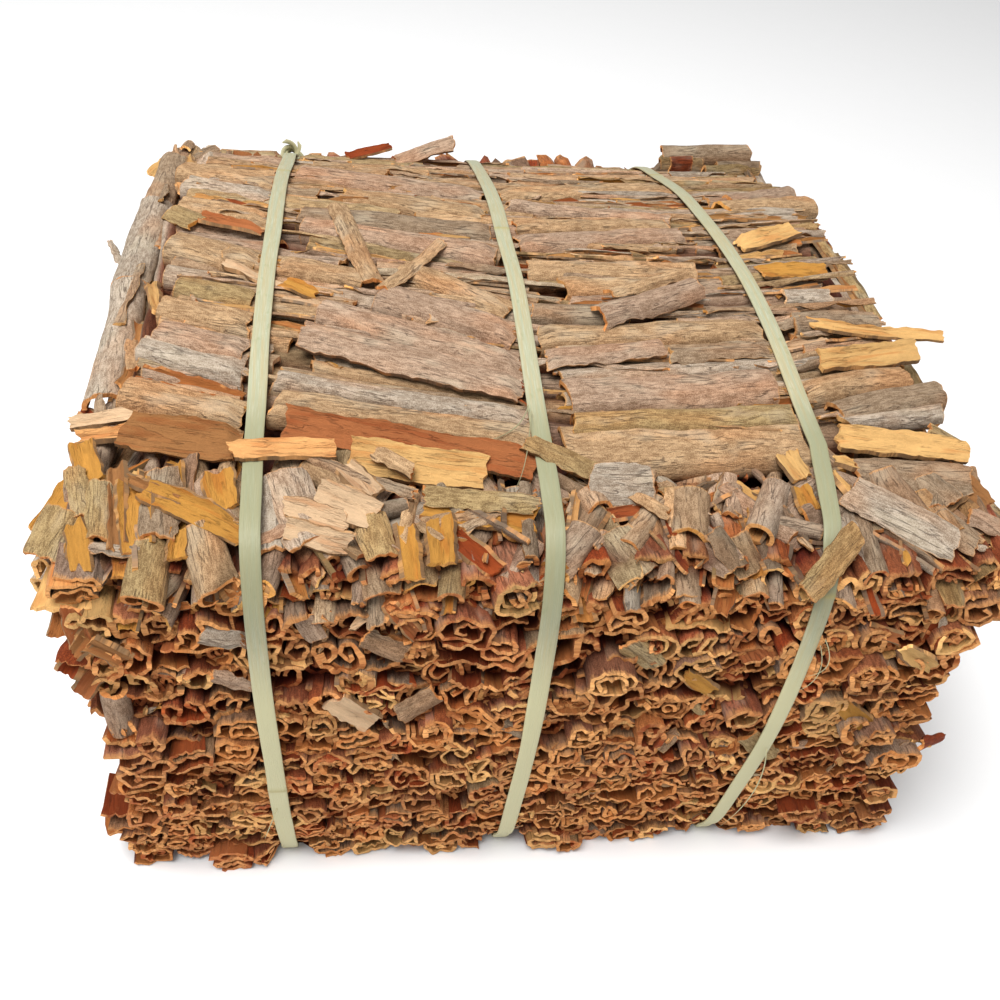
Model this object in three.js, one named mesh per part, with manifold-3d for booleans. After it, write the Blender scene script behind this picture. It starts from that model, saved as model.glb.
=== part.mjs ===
// A pressed bale of split cinnamon bark, tied with three bands of split bamboo.
// Millimetres. +X runs across the bands, +Y from the front of the bale to its back, +Z up.
// Long curls of bark run front to back and show their ends on the front face. A layer of
// cross quills lies over them, and one under them.
import * as THREE from 'three';
import { mergeVertices } from 'three/addons/utils/BufferGeometryUtils.js';
import Module from 'manifold-3d';

const wasm = await Module();
wasm.setup();

// ---- Driving dimensions ----
const FRONT_TOP_Y = -196.5;     // front face, at the shoulder
const FRONT_FOOT_STEP = -6;     // how much further out its foot is
const FRONT_BULGE = -58.4;      // four times the bulge at half height
const FRONT_HEIGHT = 218;
const FOOT_FLARE = 8;           // between the bands the foot of the front bulges out this much more
const FOOT_FLARE_HEIGHT = 45;
const BACK_Y = 199;
const BACK_BULGE = 58;
const BACK_HEIGHT = 190;
const CROSS_FRONT_Y = -137;     // front edge of the cross layer
const CROSS_DEPTH = 334;
const CROWN_FRONT = 217;        // height of the cross layer at its front edge
const CROWN_FALL = 29;          // how much lower its back edge is
const CROWN_RISE = 108;         // four times the rise of its crown
const SHOULDER_FRONT = 208;     // top of the lengthways quills, at the front and under the cross layer
const SHOULDER_BACK = 212;

const CORE_LENGTH = 370;        // inner block, along X
const CORE_CENTRE_X = -1;
const CORE_INSET = 8;           // the block lies this far under the bark that shows
const CORE_FOOT = 6;            // height of its underside

const WALL = 2.4;               // thickness of the bark
const FRONT_ROWS = 15;
const FRONT_ROW_LOW = 11.3;     // height of the lowest row of ends, and how much the top one adds
const FRONT_ROW_GROWTH = 4.4;
const QUILL_PITCH = 17;         // mean width of a quill end
const END_REACH = 22;           // length of the modelled end, mostly sunk in the block
const FRONT_EVERY = 4;          // one end in four is modelled on the front, and one in sixteen on the back
const FRONT_GROWTH = 1.2;       // a modelled end fills this much more than its own place
const BACK_EVERY = 16;
const BACK_GROWTH = 1.3;

const SHOULDER_QUILLS = 16;
const SHOULDER_LEFT = -190;     // where their row begins, and how long it is
const SHOULDER_LENGTH = 376;
const SHOULDER_ROOT_Y = -118;   // they end under the cross layer

const SIDE_LEVELS = 7;          // quills along each side, one over the other
const SIDE_LOW = 24;
const SIDE_STEP = 25;
const FOOT_ROWS = 8;
const FOOT_HALF_DEPTH = 166;
const FOOT_DROP = 2;            // how far the lowest quills reach below the floor before they are trimmed
const BOARD_THICKNESS = 4.5;    // loose boards and flakes

const BAND_WIDTH = 8.4;
const BAND_THICKNESS = 1.4;
const BAND_STATIONS = 38;
const BAND_REST = 1.6;          // from the form of the bale to the middle of a band's thickness
const BAND_FOOT_Z = 0.9;        // under the bale a band lies in grooves, just clear of the floor
const PRESSED_WIDTH = 12;       // a band presses in the ends this far to each side of its middle
const GAP = 0.35;               // air between a band and the bark
const CLEAR_OUT = 9;            // nothing but a loose flake lies this far over a band
const KNOT_RADIUS = 7.5;

const BARK_COLOUR = 0xa9865f;
const BAMBOO_COLOUR = 0xc6c69a;

// ---- Numbers that vary from piece to piece ----
// A repeatable number from 0 to 1 for each item of each series.
function chance(item, series) {
  const value = Math.sin(item * 12.9898 + series * 78.233) * 43758.5453;
  return value - Math.floor(value);
}

function vary(item, series, low, high) {
  return low + (high - low) * chance(item, series);
}

// ---- Form of the bale ----
function crownZ(y) {
  const t = (y - CROSS_FRONT_Y) / CROSS_DEPTH;
  return CROWN_FRONT - CROWN_FALL * t + CROWN_RISE * t * (1 - t);
}

function frontY(z) {
  const t = 1 - z / FRONT_HEIGHT;
  return FRONT_TOP_Y + FRONT_FOOT_STEP * t + FRONT_BULGE * t * (1 - t);
}

function flaredFrontY(z) {
  return frontY(z) - FOOT_FLARE * Math.max(0, 1 - z / FOOT_FLARE_HEIGHT) ** 2;
}

function backY(z) {
  const t = z / BACK_HEIGHT;
  return BACK_Y + BACK_BULGE * t * (1 - t);
}

function leftX(z) {
  const spread = z < 130 ? 12 * (1 - z / 130) ** 2 : 25 * ((z - 130) / 90) ** 2;
  return -189 - spread;
}

function rightX(z) {
  const spread = z < 140 ? 18 * (1 - z / 140) ** 2 : 20 * ((z - 140) / 70) ** 2;
  return 183 + spread;
}

// The cross quills bend towards the front in the middle of the bale.
function rowBow(x) {
  return 0.2 * Math.max(0, -x) + 0.18 * Math.max(0, x - 105);
}

// ---- Solids ----
// Turns an outline drawn in Y and Z, and extruded, so that the extrusion runs along X.
const ALONG_X = new THREE.Matrix4().makeBasis(
  new THREE.Vector3(0, 1, 0),
  new THREE.Vector3(0, 0, 1),
  new THREE.Vector3(1, 0, 0),
);
const UP = [0, 0, 1];

function solidOf(geometry) {
  const bare = geometry.clone();
  bare.deleteAttribute('normal');
  bare.deleteAttribute('uv');
  const merged = mergeVertices(bare, 1e-3);
  return new wasm.Manifold(new wasm.Mesh({
    numProp: 3,
    vertProperties: merged.getAttribute('position').array,
    triVerts: Uint32Array.from(merged.index.array),
  }));
}

function geometryOf(solid) {
  const mesh = solid.getMesh();
  const geometry = new THREE.BufferGeometry();
  geometry.setAttribute('position', new THREE.BufferAttribute(mesh.vertProperties, 3));
  geometry.setIndex(new THREE.BufferAttribute(mesh.triVerts, 1));
  geometry.computeVertexNormals();
  return geometry;
}

function join(solids) {
  return solids.reduce((all, next) => all.add(next));
}

// The one large body: loose scraps are dropped and sealed hollows are filled.
function mainBody(solid) {
  const bodies = solid.decompose();
  return bodies.reduce((best, next) => (next.volume() > best.volume() ? next : best));
}

// ---- Outlines of bark seen end on ----
// A strip of even thickness that follows part of a flattened ring. The opening is turned to one side.
function curlShape(width, height, sweep, sides, opening, seed) {
  const outer = [];
  const inner = [];
  for (let i = 0; i <= sides; i += 1) {
    const angle = opening + Math.PI + sweep * (i / sides - 0.5);
    const swell = vary(seed * 31 + i, 4, 0.9, 1.08);
    const along = Math.cos(angle);
    const up = Math.sin(angle);
    outer.push(new THREE.Vector2(along * width * swell / 2, up * height * swell / 2));
    inner.push(new THREE.Vector2(
      along * (width * swell / 2 - WALL),
      up * (height * swell / 2 - WALL),
    ));
  }
  return new THREE.Shape([...outer, ...inner.reverse()]);
}

// A filled, slightly uneven oval with a flat side on top.
function ovalShape(width, height, sides, seed) {
  const points = [];
  for (let i = 0; i < sides; i += 1) {
    const angle = Math.PI / 2 + Math.PI * (2 * i - 1) / sides;
    const swell = vary(seed * 17 + i, 5, 0.9, 1.06);
    points.push(new THREE.Vector2(
      Math.cos(angle) * width * swell / 2,
      Math.sin(angle) * height * swell / 2,
    ));
  }
  return new THREE.Shape(points);
}

// A shallow arc of bark, as wide as a board and bent across its width.
function boardShape(width, thickness, bend, sides) {
  const top = [];
  const under = [];
  for (let i = 0; i <= sides; i += 1) {
    const across = 1 - 2 * i / sides;
    const rise = bend * (1 - across * across);
    top.push(new THREE.Vector2(across * width / 2, rise));
    under.push(new THREE.Vector2(across * width / 2, rise - thickness));
  }
  return new THREE.Shape([...top, ...under.reverse()]);
}

// ---- Pieces of bark ----
// Sweeps an outline from one point to another, with its upward side towards up. Each end is broken off
// at a slant of its own.
function sweep(shape, from, to, up, slant, seed) {
  const start = new THREE.Vector3(...from);
  const along = new THREE.Vector3(...to).sub(start);
  const length = along.length();
  along.normalize();
  const side = new THREE.Vector3(...up).cross(along).normalize();
  const rise = along.clone().cross(side);
  const geometry = new THREE.ExtrudeGeometry(shape, { depth: length, steps: 1, bevelEnabled: false });
  const place = geometry.getAttribute('position');
  for (let i = 0; i < place.count; i += 1) {
    const end = place.getZ(i) < length / 2 ? 6 : 8;
    const across = place.getX(i) * vary(seed, end, -slant, slant);
    const over = place.getY(i) * vary(seed, end + 1, -slant, slant);
    place.setZ(i, place.getZ(i) + across + over);
  }
  geometry.applyMatrix4(new THREE.Matrix4().makeBasis(side, rise, along).setPosition(start));
  return solidOf(geometry);
}

// ---- The inner block ----
function coreOutline() {
  const points = [];
  for (const z of [CORE_FOOT, 50, 110, 165, 200]) {
    points.push([flaredFrontY(z) + CORE_INSET, z]);
  }
  for (const y of [-128, -60, 30, 110, 186]) {
    points.push([y, crownZ(y) - CORE_INSET]);
  }
  for (const z of [150, 95, 45, CORE_FOOT]) {
    points.push([backY(z) - CORE_INSET, z]);
  }
  return points.map(([y, z]) => new THREE.Vector2(y, z));
}

function coreBlock() {
  const block = new THREE.ExtrudeGeometry(new THREE.Shape(coreOutline()), {
    depth: CORE_LENGTH, steps: 1, bevelEnabled: false,
  });
  block.applyMatrix4(ALONG_X);
  block.translate(CORE_CENTRE_X - CORE_LENGTH / 2, 0, 0);
  return solidOf(block);
}

// ---- Quill ends on the front and the back ----
// One packed row of ends: its height, and where each end sits in it.
function endRow(row) {
  let z = 3;
  for (let below = 0; below < row; below += 1) {
    z += FRONT_ROW_LOW + FRONT_ROW_GROWTH * below / (FRONT_ROWS - 1);
  }
  const height = FRONT_ROW_LOW + FRONT_ROW_GROWTH * row / (FRONT_ROWS - 1);
  const middle = z + height / 2;
  const left = leftX(middle);
  const count = Math.round((rightX(middle) - left) / QUILL_PITCH);
  const shares = [];
  for (let i = 0; i < count; i += 1) {
    shares.push(vary(row * 40 + i, 21, 0.62, 1.38));
  }
  const total = shares.reduce((sum, share) => sum + share, 0);
  const ends = [];
  let x = left;
  shares.forEach((share, i) => {
    const width = (rightX(middle) - left) * share / total;
    ends.push({
      x: x + width / 2,
      z: middle + vary(row * 40 + i, 22, -2.5, 2.5),
      width,
      height,
      seed: row * 40 + i,
    });
    x += width;
  });
  return ends;
}

// Every so many ends along a row is modelled, and the others are left to the block behind.
function quillEnds(face, outward, every, growth) {
  const ends = [];
  for (let row = 0; row < FRONT_ROWS - 1; row += 1) {
    const packed = endRow(row);
    packed.forEach((end, i) => {
      if ((i + 2 * row) % every !== 0 || i === 0 || i === packed.length - 1) {
        return;
      }
      const { x, z, seed } = end;
      const pressed = underBand(x, face(z), z);
      const tip = face(z) + outward * (pressed ? -2 : vary(seed, 23, -2, 4));
      const shape = curlShape(
        end.width * growth,
        end.height * growth,
        vary(seed, 24, 1.2, 1.75) * Math.PI,
        end.width > 1.25 * QUILL_PITCH ? 4 : 3,
        vary(seed, 25, 0, 2 * Math.PI),
        seed,
      );
      const root = [x + vary(seed, 26, -3, 3), tip - outward * END_REACH, z + vary(seed, 27, -2, 2)];
      ends.push(sweep(shape, root, [x, tip, z], UP, 0.15, seed));
    });
  }
  return ends;
}

// ---- The tops of the lengthways quills along the front shoulder ----
function shoulderQuills() {
  const quills = [];
  for (let i = 0; i < SHOULDER_QUILLS; i += 1) {
    const place = (i + 0.5) / SHOULDER_QUILLS;
    const x = SHOULDER_LEFT + SHOULDER_LENGTH * place + vary(i, 31, -2, 2);
    const width = vary(i, 32, 15, 20);
    const height = vary(i, 33, 12, 16);
    const front = FRONT_TOP_Y + vary(i, 34, -7, 6);
    const shape = curlShape(width, height, 1.45 * Math.PI, 4, vary(i, 35, -2.2, -0.9), i);
    quills.push(sweep(
      shape,
      [x + vary(i, 36, -4, 4), SHOULDER_ROOT_Y, SHOULDER_BACK - height / 2],
      [x, front, SHOULDER_FRONT - height / 2],
      UP, 0.2, i,
    ));
  }
  return quills;
}

// ---- Quills that lie along the left and right sides ----
function sideQuills() {
  const quills = [];
  for (const side of [-1, 1]) {
    for (let level = 0; level < SIDE_LEVELS; level += 1) {
      const z = SIDE_LOW + SIDE_STEP * level;
      const edge = side < 0 ? leftX(z) : rightX(z);
      const joint = vary(level, side + 42, -60, 60);
      const spans = [[frontY(z) + 10, joint - 4], [joint + 4, Math.min(backY(z) - 6, 198)]];
      spans.forEach(([start, end], half) => {
        const seed = level * 4 + half * 2 + (side + 1) / 2;
        const x = edge - side * vary(seed, 43, 5, 9);
        const shape = ovalShape(vary(seed, 44, 16, 21), vary(seed, 45, 20, 24), 6, seed);
        quills.push(sweep(
          shape,
          [x, start, z],
          [x + vary(seed, 46, -3, 3), end, z + vary(seed, 47, -3, 3)],
          UP, 0.3, seed,
        ));
      });
    }
  }
  return quills;
}

// ---- Quills that show at the margins of the top, and splay out at the front corners ----
const MARGIN_QUILLS = [
  { from: [-190, 192, 188], to: [-193, 74, 194], width: 27, height: 16 },
  { from: [-193, 70, 194], to: [-194, -34, 197], width: 27, height: 17 },
  { from: [-192, -38, 198], to: [-189, -112, 201], width: 25, height: 15 },
  { from: [197, 140, 193], to: [198, 10, 196], width: 26, height: 15 },
  { from: [197, 4, 196], to: [193, -96, 198], width: 25, height: 14 },
  { from: [-184, -108, 194], to: [-209, -184, 190], width: 18, height: 14 },
  { from: [-182, -104, 178], to: [-214, -172, 174], width: 17, height: 12 },
  { from: [180, -108, 196], to: [206, -172, 192], width: 20, height: 13 },
  { from: [178, -104, 178], to: [209, -170, 176], width: 17, height: 12 },
  { from: [118, 178, 199], to: [186, 180, 200], width: 14, height: 16 },
];

function marginQuills() {
  return MARGIN_QUILLS.map(({ from, to, width, height }, i) => sweep(
    ovalShape(width, height, 5, 300 + i), from, to, UP, 0.3, 300 + i,
  ));
}

// ---- Cross layer on top ----
// The Y of each row at the middle band, and where its quills begin and end.
const CROSS_ROWS = [
  [-131, [[-186, -132], [-126, 1], [3, 118]]],
  [-119, [[-184, -131], [-128, 2], [8, 122], [131, 195]]],
  [-104, [[-178, -118], [-114, -6], [3, 183]]],
  [-87, [[-180, -110], [-106, -4], [0, 184]]],
  [-68, [[-175, -82], [-78, -3], [2, 118], [124, 186]]],
  [-49, [[-181, -70], [-64, 54], [58, 174]]],
  [-28, [[-177, -84], [-80, 12], [16, 164]]],
  [-8, [[-182, -120], [-114, -10], [-2, 94], [100, 172]]],
  [14, [[-184, -124], [-118, -6], [0, 98], [104, 166]]],
  [35, [[-180, -60], [-56, 92], [98, 178]]],
  [57, [[-184, -100], [-96, 20], [24, 180]]],
  [81, [[-188, -12], [-8, 114], [120, 186]]],
  [106, [[-186, -60], [-54, 40], [44, 190]]],
  [132, [[-190, -124], [-120, 0], [4, 188]]],
  [158, [[-186, -30], [-26, 88], [94, 190]]],
  [182, [[-180, -100], [-94, 30], [36, 186]]],
];

function crossQuill(y, x0, x1, width, height, lift, seed) {
  const shape = ovalShape(width, height, 5, seed);
  const y0 = y + rowBow(x0);
  const y1 = y + rowBow(x1);
  return sweep(
    shape,
    [x0, y0, crownZ(y0) - height / 2 + lift],
    [x1, y1, crownZ(y1) - height / 2 + lift],
    UP, 0.4, seed,
  );
}

function crossLayer() {
  const quills = [];
  CROSS_ROWS.forEach(([y, spans], row) => {
    spans.forEach(([x0, x1], i) => {
      const seed = row * 5 + i;
      const before = row > 0 ? CROSS_ROWS[row - 1][0] : y - 16;
      const after = row < CROSS_ROWS.length - 1 ? CROSS_ROWS[row + 1][0] : y + 22;
      const width = (after - before) / 2 * vary(seed, 51, 0.94, 1.04);
      const height = vary(seed, 52, 12, 15);
      quills.push(crossQuill(y, x0, x1, width, height, vary(seed, 53, -2, 0), seed));
    });
  });
  return quills;
}

// ---- Cross layer underneath, trimmed flat where it stands ----
function footLayer() {
  const quills = [];
  for (let row = 0; row < FOOT_ROWS; row += 1) {
    const y = FOOT_HALF_DEPTH * (2 * row / (FOOT_ROWS - 1) - 1);
    const joint = vary(row, 61, -50, 20);
    [[-178, joint - 4], [joint + 4, 174]].forEach(([x0, x1], half) => {
      const seed = row * 2 + half;
      const height = vary(seed, 62, 14, 17);
      const z = height / 2 - FOOT_DROP;
      quills.push(sweep(
        ovalShape(vary(seed, 63, 24, 29), height, 6, seed),
        [x0, y, z], [x1, y + vary(seed, 64, -3, 3), z], UP, 0.3, seed,
      ));
    });
  }
  return quills;
}

// ---- Loose boards and flakes ----
// Each is a board from one end to the other. It is bent across its width and tilted about its length.
const FLAKES = [
  { from: [-172, -160, 214], to: [-131, -184, 207], width: 17, bend: 2, tilt: 0.5 },
  { from: [-92, -141, 219], to: [-31, -153, 216], width: 20, bend: 1, tilt: 0.5 },
  { from: [-141, -143, 221.5], to: [-94, -142, 222], width: 13, bend: 0.5, tilt: 0.2 },
  { from: [-16, -139, 223], to: [19, -155, 216], width: 10, bend: 0.5, tilt: 0.3 },
  { from: [92, -201, 205], to: [132, -179, 214], width: 21, bend: 2, tilt: 0.5 },
  { from: [-61, -164, 213], to: [-12, -170, 212], width: 12, bend: 2, tilt: 0.3 },
  { from: [10, -160, 214], to: [40, -160, 213], width: 22, bend: 3, tilt: 0.5 },
  { from: [124, -164, 213], to: [167, -194, 204], width: 19, bend: 3, tilt: 0.4 },
  { from: [-186, -127, 219], to: [-134, -136, 219], width: 22, bend: -1, tilt: 0.6 },
  { from: [-120, -124, 221], to: [-9, -148, 217], width: 18, bend: -1, tilt: 0.6 },
  { from: [129, -132, 221], to: [193, -142, 219], width: 16, bend: 1, tilt: 0.4 },
  { from: [132, -152, 214], to: [190, -156, 213], width: 20, bend: 3, tilt: 0.2 },
  { from: [-124, -170, 211], to: [-84, -172, 212], width: 26, bend: 2, tilt: 0.4 },
  { from: [-97, 46, 233], to: [-77, -36, 234], width: 11, bend: 3, tilt: 0.1 },
  { from: [-74, -40, 233], to: [-41, 8, 234], width: 9, bend: 3, tilt: 0 },
  { from: [30, -60, 232], to: [91, -26, 233], width: 16, bend: 4, tilt: 0.2 },
  { from: [137, -58, 232], to: [210, -66, 232], width: 11, bend: 1, tilt: 0.3 },
  { from: [128, -88, 230], to: [191, -74, 231], width: 17, bend: 1, tilt: 0.4 },
  { from: [122, 16, 233], to: [162, 38, 233], width: 15, bend: 1, tilt: 0.2 },
  { from: [124, -12, 234], to: [166, -8, 232], width: 14, bend: 1, tilt: 0.2 },
  { from: [-152, -14, 233], to: [-104, -42, 232], width: 12, bend: 1, tilt: 0.2 },
  { from: [-168, 30, 232], to: [-132, 19, 232], width: 12, bend: 2, tilt: 0.2 },
  { from: [-62, 180, 195], to: [-20, 184, 208], width: 13, bend: 1, tilt: 0.3 },
];

function flakeUp(from, to, tilt) {
  // The board leans towards the front, and still faces up.
  const along = new THREE.Vector3(...to).sub(new THREE.Vector3(...from)).normalize();
  const up = new THREE.Vector3(0, -Math.sin(tilt), Math.cos(tilt));
  return up.sub(along.clone().multiplyScalar(up.dot(along))).normalize().toArray();
}

function looseFlakes() {
  return FLAKES.map(({ from, to, width, bend, tilt }, i) => sweep(
    boardShape(width, BOARD_THICKNESS, bend, bend > 2 ? 2 : 1),
    from, to, flakeUp(from, to, tilt), 0.35, i,
  ));
}

// ---- Bands ----
function bandTopZ(y) {
  return BAND_REST + (y < CROSS_FRONT_Y ? CROWN_FRONT : crownZ(y));
}

// Route of every band round the bale, seen from the side as Y and Z, from the foot of the front up.
function routePoints() {
  const points = [];
  for (const z of [12, 50, 110, 165, 195]) {
    points.push([frontY(z) - BAND_REST, z]);
  }
  points.push([-190, 215]);
  for (const y of [-165, -130, -60, 0, 80, 150]) {
    points.push([y, bandTopZ(y)]);
  }
  points.push([192, bandTopZ(192)]);
  for (const z of [170, 110, 50, 12]) {
    points.push([backY(z) + BAND_REST, z]);
  }
  points.push([190, BAND_FOOT_Z], [100, BAND_FOOT_Z], [0, BAND_FOOT_Z]);
  points.push([-100, BAND_FOOT_Z], [-190, BAND_FOOT_Z]);
  return points;
}

// Where each band lies along X: at the back and front of the cross quills, where it turns down the front,
// and at the foot of the front.
const BANDS = {
  bamboo_band_left: { back: -128.5, front: -130, turn: -128.5, foot: -121.5 },
  bamboo_band_middle: { back: -9, front: -6.5, turn: -8, foot: -12.5 },
  bamboo_band_right: { back: 108.5, front: 120, turn: 109.5, foot: 98.5 },
};
const TURN_DEPTH = 55;          // from the cross quills to the turn

function bandRoute() {
  const points = routePoints().map(([y, z]) => new THREE.Vector3(y, z, 0));
  const curve = new THREE.CatmullRomCurve3(points, true, 'catmullrom', 0.5);
  const route = curve.getSpacedPoints(BAND_STATIONS).slice(0, -1);
  route.forEach((point) => point.setY(Math.max(point.y, BAND_FOOT_Z)));
  return route;
}

// The route moved in or out by an offset, as a closed outline.
function offsetRoute(offset) {
  const route = bandRoute();
  return route.map((point, i) => {
    const before = route[(i + route.length - 1) % route.length];
    const after = route[(i + 1) % route.length];
    const tangent = new THREE.Vector2(after.x - before.x, after.y - before.y).normalize();
    // The route runs up the front and back over the top, so its outer side is on its left.
    return new THREE.Vector2(point.x - tangent.y * offset, point.y + tangent.x * offset);
  });
}

function bandX(band, y, z) {
  const { back, front, turn, foot } = BANDS[band];
  const alongTop = THREE.MathUtils.clamp((y - CROSS_FRONT_Y) / CROSS_DEPTH, 0, 1);
  const toTurn = THREE.MathUtils.clamp((CROSS_FRONT_Y - y) / TURN_DEPTH, 0, 1);
  const downFront = THREE.MathUtils.clamp(1 - z / CROWN_FRONT, 0, 1);
  const top = THREE.MathUtils.lerp(THREE.MathUtils.lerp(front, turn, toTurn), back, alongTop);
  const atFoot = THREE.MathUtils.lerp(foot, back, THREE.MathUtils.clamp((y + 196) / 392, 0, 1));
  return THREE.MathUtils.lerp(top, atFoot, downFront);
}

// Whether a piece of bark at this place lies under a band, and so is pressed in.
function underBand(x, y, z) {
  return Object.keys(BANDS).some((band) => Math.abs(x - bandX(band, y, z)) < PRESSED_WIDTH);
}

// A closed strap with four corners at each station: inner and outer, on its left and its right.
function bandSolid(band, inward, outward, width) {
  const inner = offsetRoute(-inward);
  const outer = offsetRoute(outward);
  const corners = [];
  const triangles = [];
  for (let i = 0; i < inner.length; i += 1) {
    for (const [point, side] of [[inner[i], -1], [outer[i], -1], [outer[i], 1], [inner[i], 1]]) {
      corners.push(bandX(band, point.x, point.y) + side * width / 2, point.x, point.y);
    }
    const here = 4 * i;
    const next = 4 * ((i + 1) % inner.length);
    for (let corner = 0; corner < 4; corner += 1) {
      const turned = (corner + 1) % 4;
      triangles.push(here + corner, here + turned, next + turned);
      triangles.push(here + corner, next + turned, next + corner);
    }
  }
  const geometry = new THREE.BufferGeometry();
  geometry.setAttribute('position', new THREE.Float32BufferAttribute(corners, 3));
  geometry.setIndex(triangles);
  return solidOf(geometry);
}

// A tied end of bamboo on the band, at the back.
const KNOT_PLACES = {
  bamboo_band_left: [197, 190],
  bamboo_band_middle: [214, 148],
  bamboo_band_right: [214.5, 138],
};

function knot(band, margin) {
  const [y, z] = KNOT_PLACES[band];
  const bun = new THREE.SphereGeometry(KNOT_RADIUS + margin, 8, 5);
  bun.rotateZ(Math.PI / 2);
  bun.scale(1, 0.75, 0.85);
  bun.translate(bandX(band, y, z), y, z);
  return solidOf(bun);
}

// ---- Assembly ----
function floorTrim() {
  const slab = new THREE.BoxGeometry(600, 600, 40);
  slab.translate(0, 0, -20);
  return solidOf(slab);
}

function barkBale(bands) {
  let bale = join([
    coreBlock(),
    ...quillEnds(flaredFrontY, -1, FRONT_EVERY, FRONT_GROWTH),
    ...quillEnds(backY, 1, BACK_EVERY, BACK_GROWTH),
    ...shoulderQuills(),
    ...sideQuills(),
    ...marginQuills(),
    ...crossLayer(),
    ...footLayer(),
  ]);
  let flakes = join(looseFlakes());
  const reach = BAND_THICKNESS / 2 + GAP;
  for (const band of bands) {
    bale = bale.subtract(bandSolid(band, reach, CLEAR_OUT, BAND_WIDTH + 4 * GAP));
    bale = bale.subtract(knot(band, 2 * GAP));
    flakes = flakes.subtract(bandSolid(band, reach, reach, BAND_WIDTH + 4 * GAP));
  }
  return mainBody(bale.add(flakes).subtract(floorTrim()));
}

function bambooBand(band) {
  const reach = BAND_THICKNESS / 2;
  return bandSolid(band, reach, reach, BAND_WIDTH).add(knot(band, 0));
}

function named(name, solid, color, roughness) {
  const material = new THREE.MeshStandardMaterial({ color, roughness, metalness: 0 });
  const mesh = new THREE.Mesh(geometryOf(solid), material);
  mesh.name = name;
  return mesh;
}

const bandNames = Object.keys(BANDS);
const bundle = new THREE.Group();
bundle.add(named('bark_bale', barkBale(bandNames), BARK_COLOUR, 0.9));
for (const name of bandNames) {
  bundle.add(named(name, bambooBand(name), BAMBOO_COLOUR, 0.55));
}

// The origin is under the middle of the whole, on the floor.
const extent = new THREE.Box3().setFromObject(bundle);
const middle = extent.getCenter(new THREE.Vector3());
bundle.position.set(-middle.x, -middle.y, -extent.min.z);
const group = new THREE.Group();
group.add(bundle);

export default group;
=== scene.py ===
"""A pressed bale of split cinnamon bark, tied with three bands of split bamboo.

The bale's own measure is in millimetres: +X across the bands, +Y from the front face with the quill ends to the
back, +Z up. Every piece of bark is a closed sheet: a surface of two parameters, s across the bark and t along its
fibres, that is given a thickness."""

import math

import bpy
import numpy as np
from bpy.props import FloatProperty, FloatVectorProperty, IntProperty, PointerProperty
from mathutils import Matrix, Vector


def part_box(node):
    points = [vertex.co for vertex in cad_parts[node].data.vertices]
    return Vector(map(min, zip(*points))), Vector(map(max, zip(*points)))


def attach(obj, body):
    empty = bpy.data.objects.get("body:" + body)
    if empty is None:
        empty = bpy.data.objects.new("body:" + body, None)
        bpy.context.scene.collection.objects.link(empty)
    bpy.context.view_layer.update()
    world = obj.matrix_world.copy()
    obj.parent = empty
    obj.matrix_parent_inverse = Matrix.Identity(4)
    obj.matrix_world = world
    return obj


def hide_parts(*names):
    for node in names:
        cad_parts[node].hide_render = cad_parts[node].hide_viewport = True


bl_info = {
    "name": "Cinnamon bark bale",
    "version": (1, 0, 0),
    "blender": (4, 5, 0),
    "location": "View3D > Sidebar > Bale",
    "description": "Builds a tied bale of split cinnamon bark around its solid model",
    "category": "Add Mesh",
}

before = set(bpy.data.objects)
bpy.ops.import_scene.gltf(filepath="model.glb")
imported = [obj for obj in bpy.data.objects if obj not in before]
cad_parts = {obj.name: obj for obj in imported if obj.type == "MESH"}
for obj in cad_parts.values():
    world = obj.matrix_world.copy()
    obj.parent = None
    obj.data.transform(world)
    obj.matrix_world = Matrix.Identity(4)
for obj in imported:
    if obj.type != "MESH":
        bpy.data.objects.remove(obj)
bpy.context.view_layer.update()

# ---- Lines ----
def arc_length(line):
    """Length along a line from its first point to each of its points."""
    return np.concatenate([[0], np.cumsum(np.linalg.norm(np.diff(line, axis=0), axis=1))])


def evened(line, stations, closed=False):
    """The same line with its points at equal lengths. A closed line ends one step before its first point."""
    reach = arc_length(line)
    at = np.linspace(0, reach[-1], stations, endpoint=not closed)
    return np.stack([np.interp(at, reach, line[:, k]) for k in range(2)], 1)


def boxed(line):
    """The same line moved and stretched to fill a box from -1 to 1."""
    low, high = line.min(0), line.max(0)
    return (line - (low + high) / 2) / np.maximum((high - low) / 2, 1e-6)


def turned(line, angle):
    """The same line turned about 0, 0 by an angle, the way that angles grow."""
    c, s = math.cos(angle), math.sin(angle)
    return line @ np.array([[c, s], [-s, c]])


# ---- Form of the bale, in millimetres ----
MM = 0.001
BANDS = ("bamboo_band_left", "bamboo_band_middle", "bamboo_band_right")
BAND_PLACES = {  # X at the back and front of the cross quills, at the turn, and at the foot of the front
    "bamboo_band_left": (-128.5, -130.0, -128.5, -121.5),
    "bamboo_band_middle": (-9.0, -6.5, -8.0, -12.5),
    "bamboo_band_right": (108.5, 120.0, 109.5, 98.5),
}
SOLID_BAND_WIDTH = 8.4
CROSS_FRONT, CROSS_DEPTH = -137.0, 334.0  # the cross layer's front edge, and how far back it reaches
CROWN_FRONT, CROWN_FALL, CROWN_BULGE = 217.0, 29, 108
FRONT_EDGE, FRONT_HEIGHT, FRONT_STEP, FRONT_BULGE = -196.5, 218, 6, 58.4
FLARE, FLARE_HEIGHT = 8, 45
BACK_EDGE, BACK_HEIGHT, BACK_BULGE = 199, 190, 58
LEFT_WAIST, RIGHT_WAIST = (-189, 130), (183, 140)  # X and Z of the narrowest place of each side
SHOULDER_FRONT, SHOULDER_RISE, SHOULDER_DEPTH = 208, 4, 78.5
ROWS, LOWEST_ROW, ROW_HEIGHT, ROW_GROWTH = 15, 3.0, 11.3, 4.4  # rows of quill ends on the front and back


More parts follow.
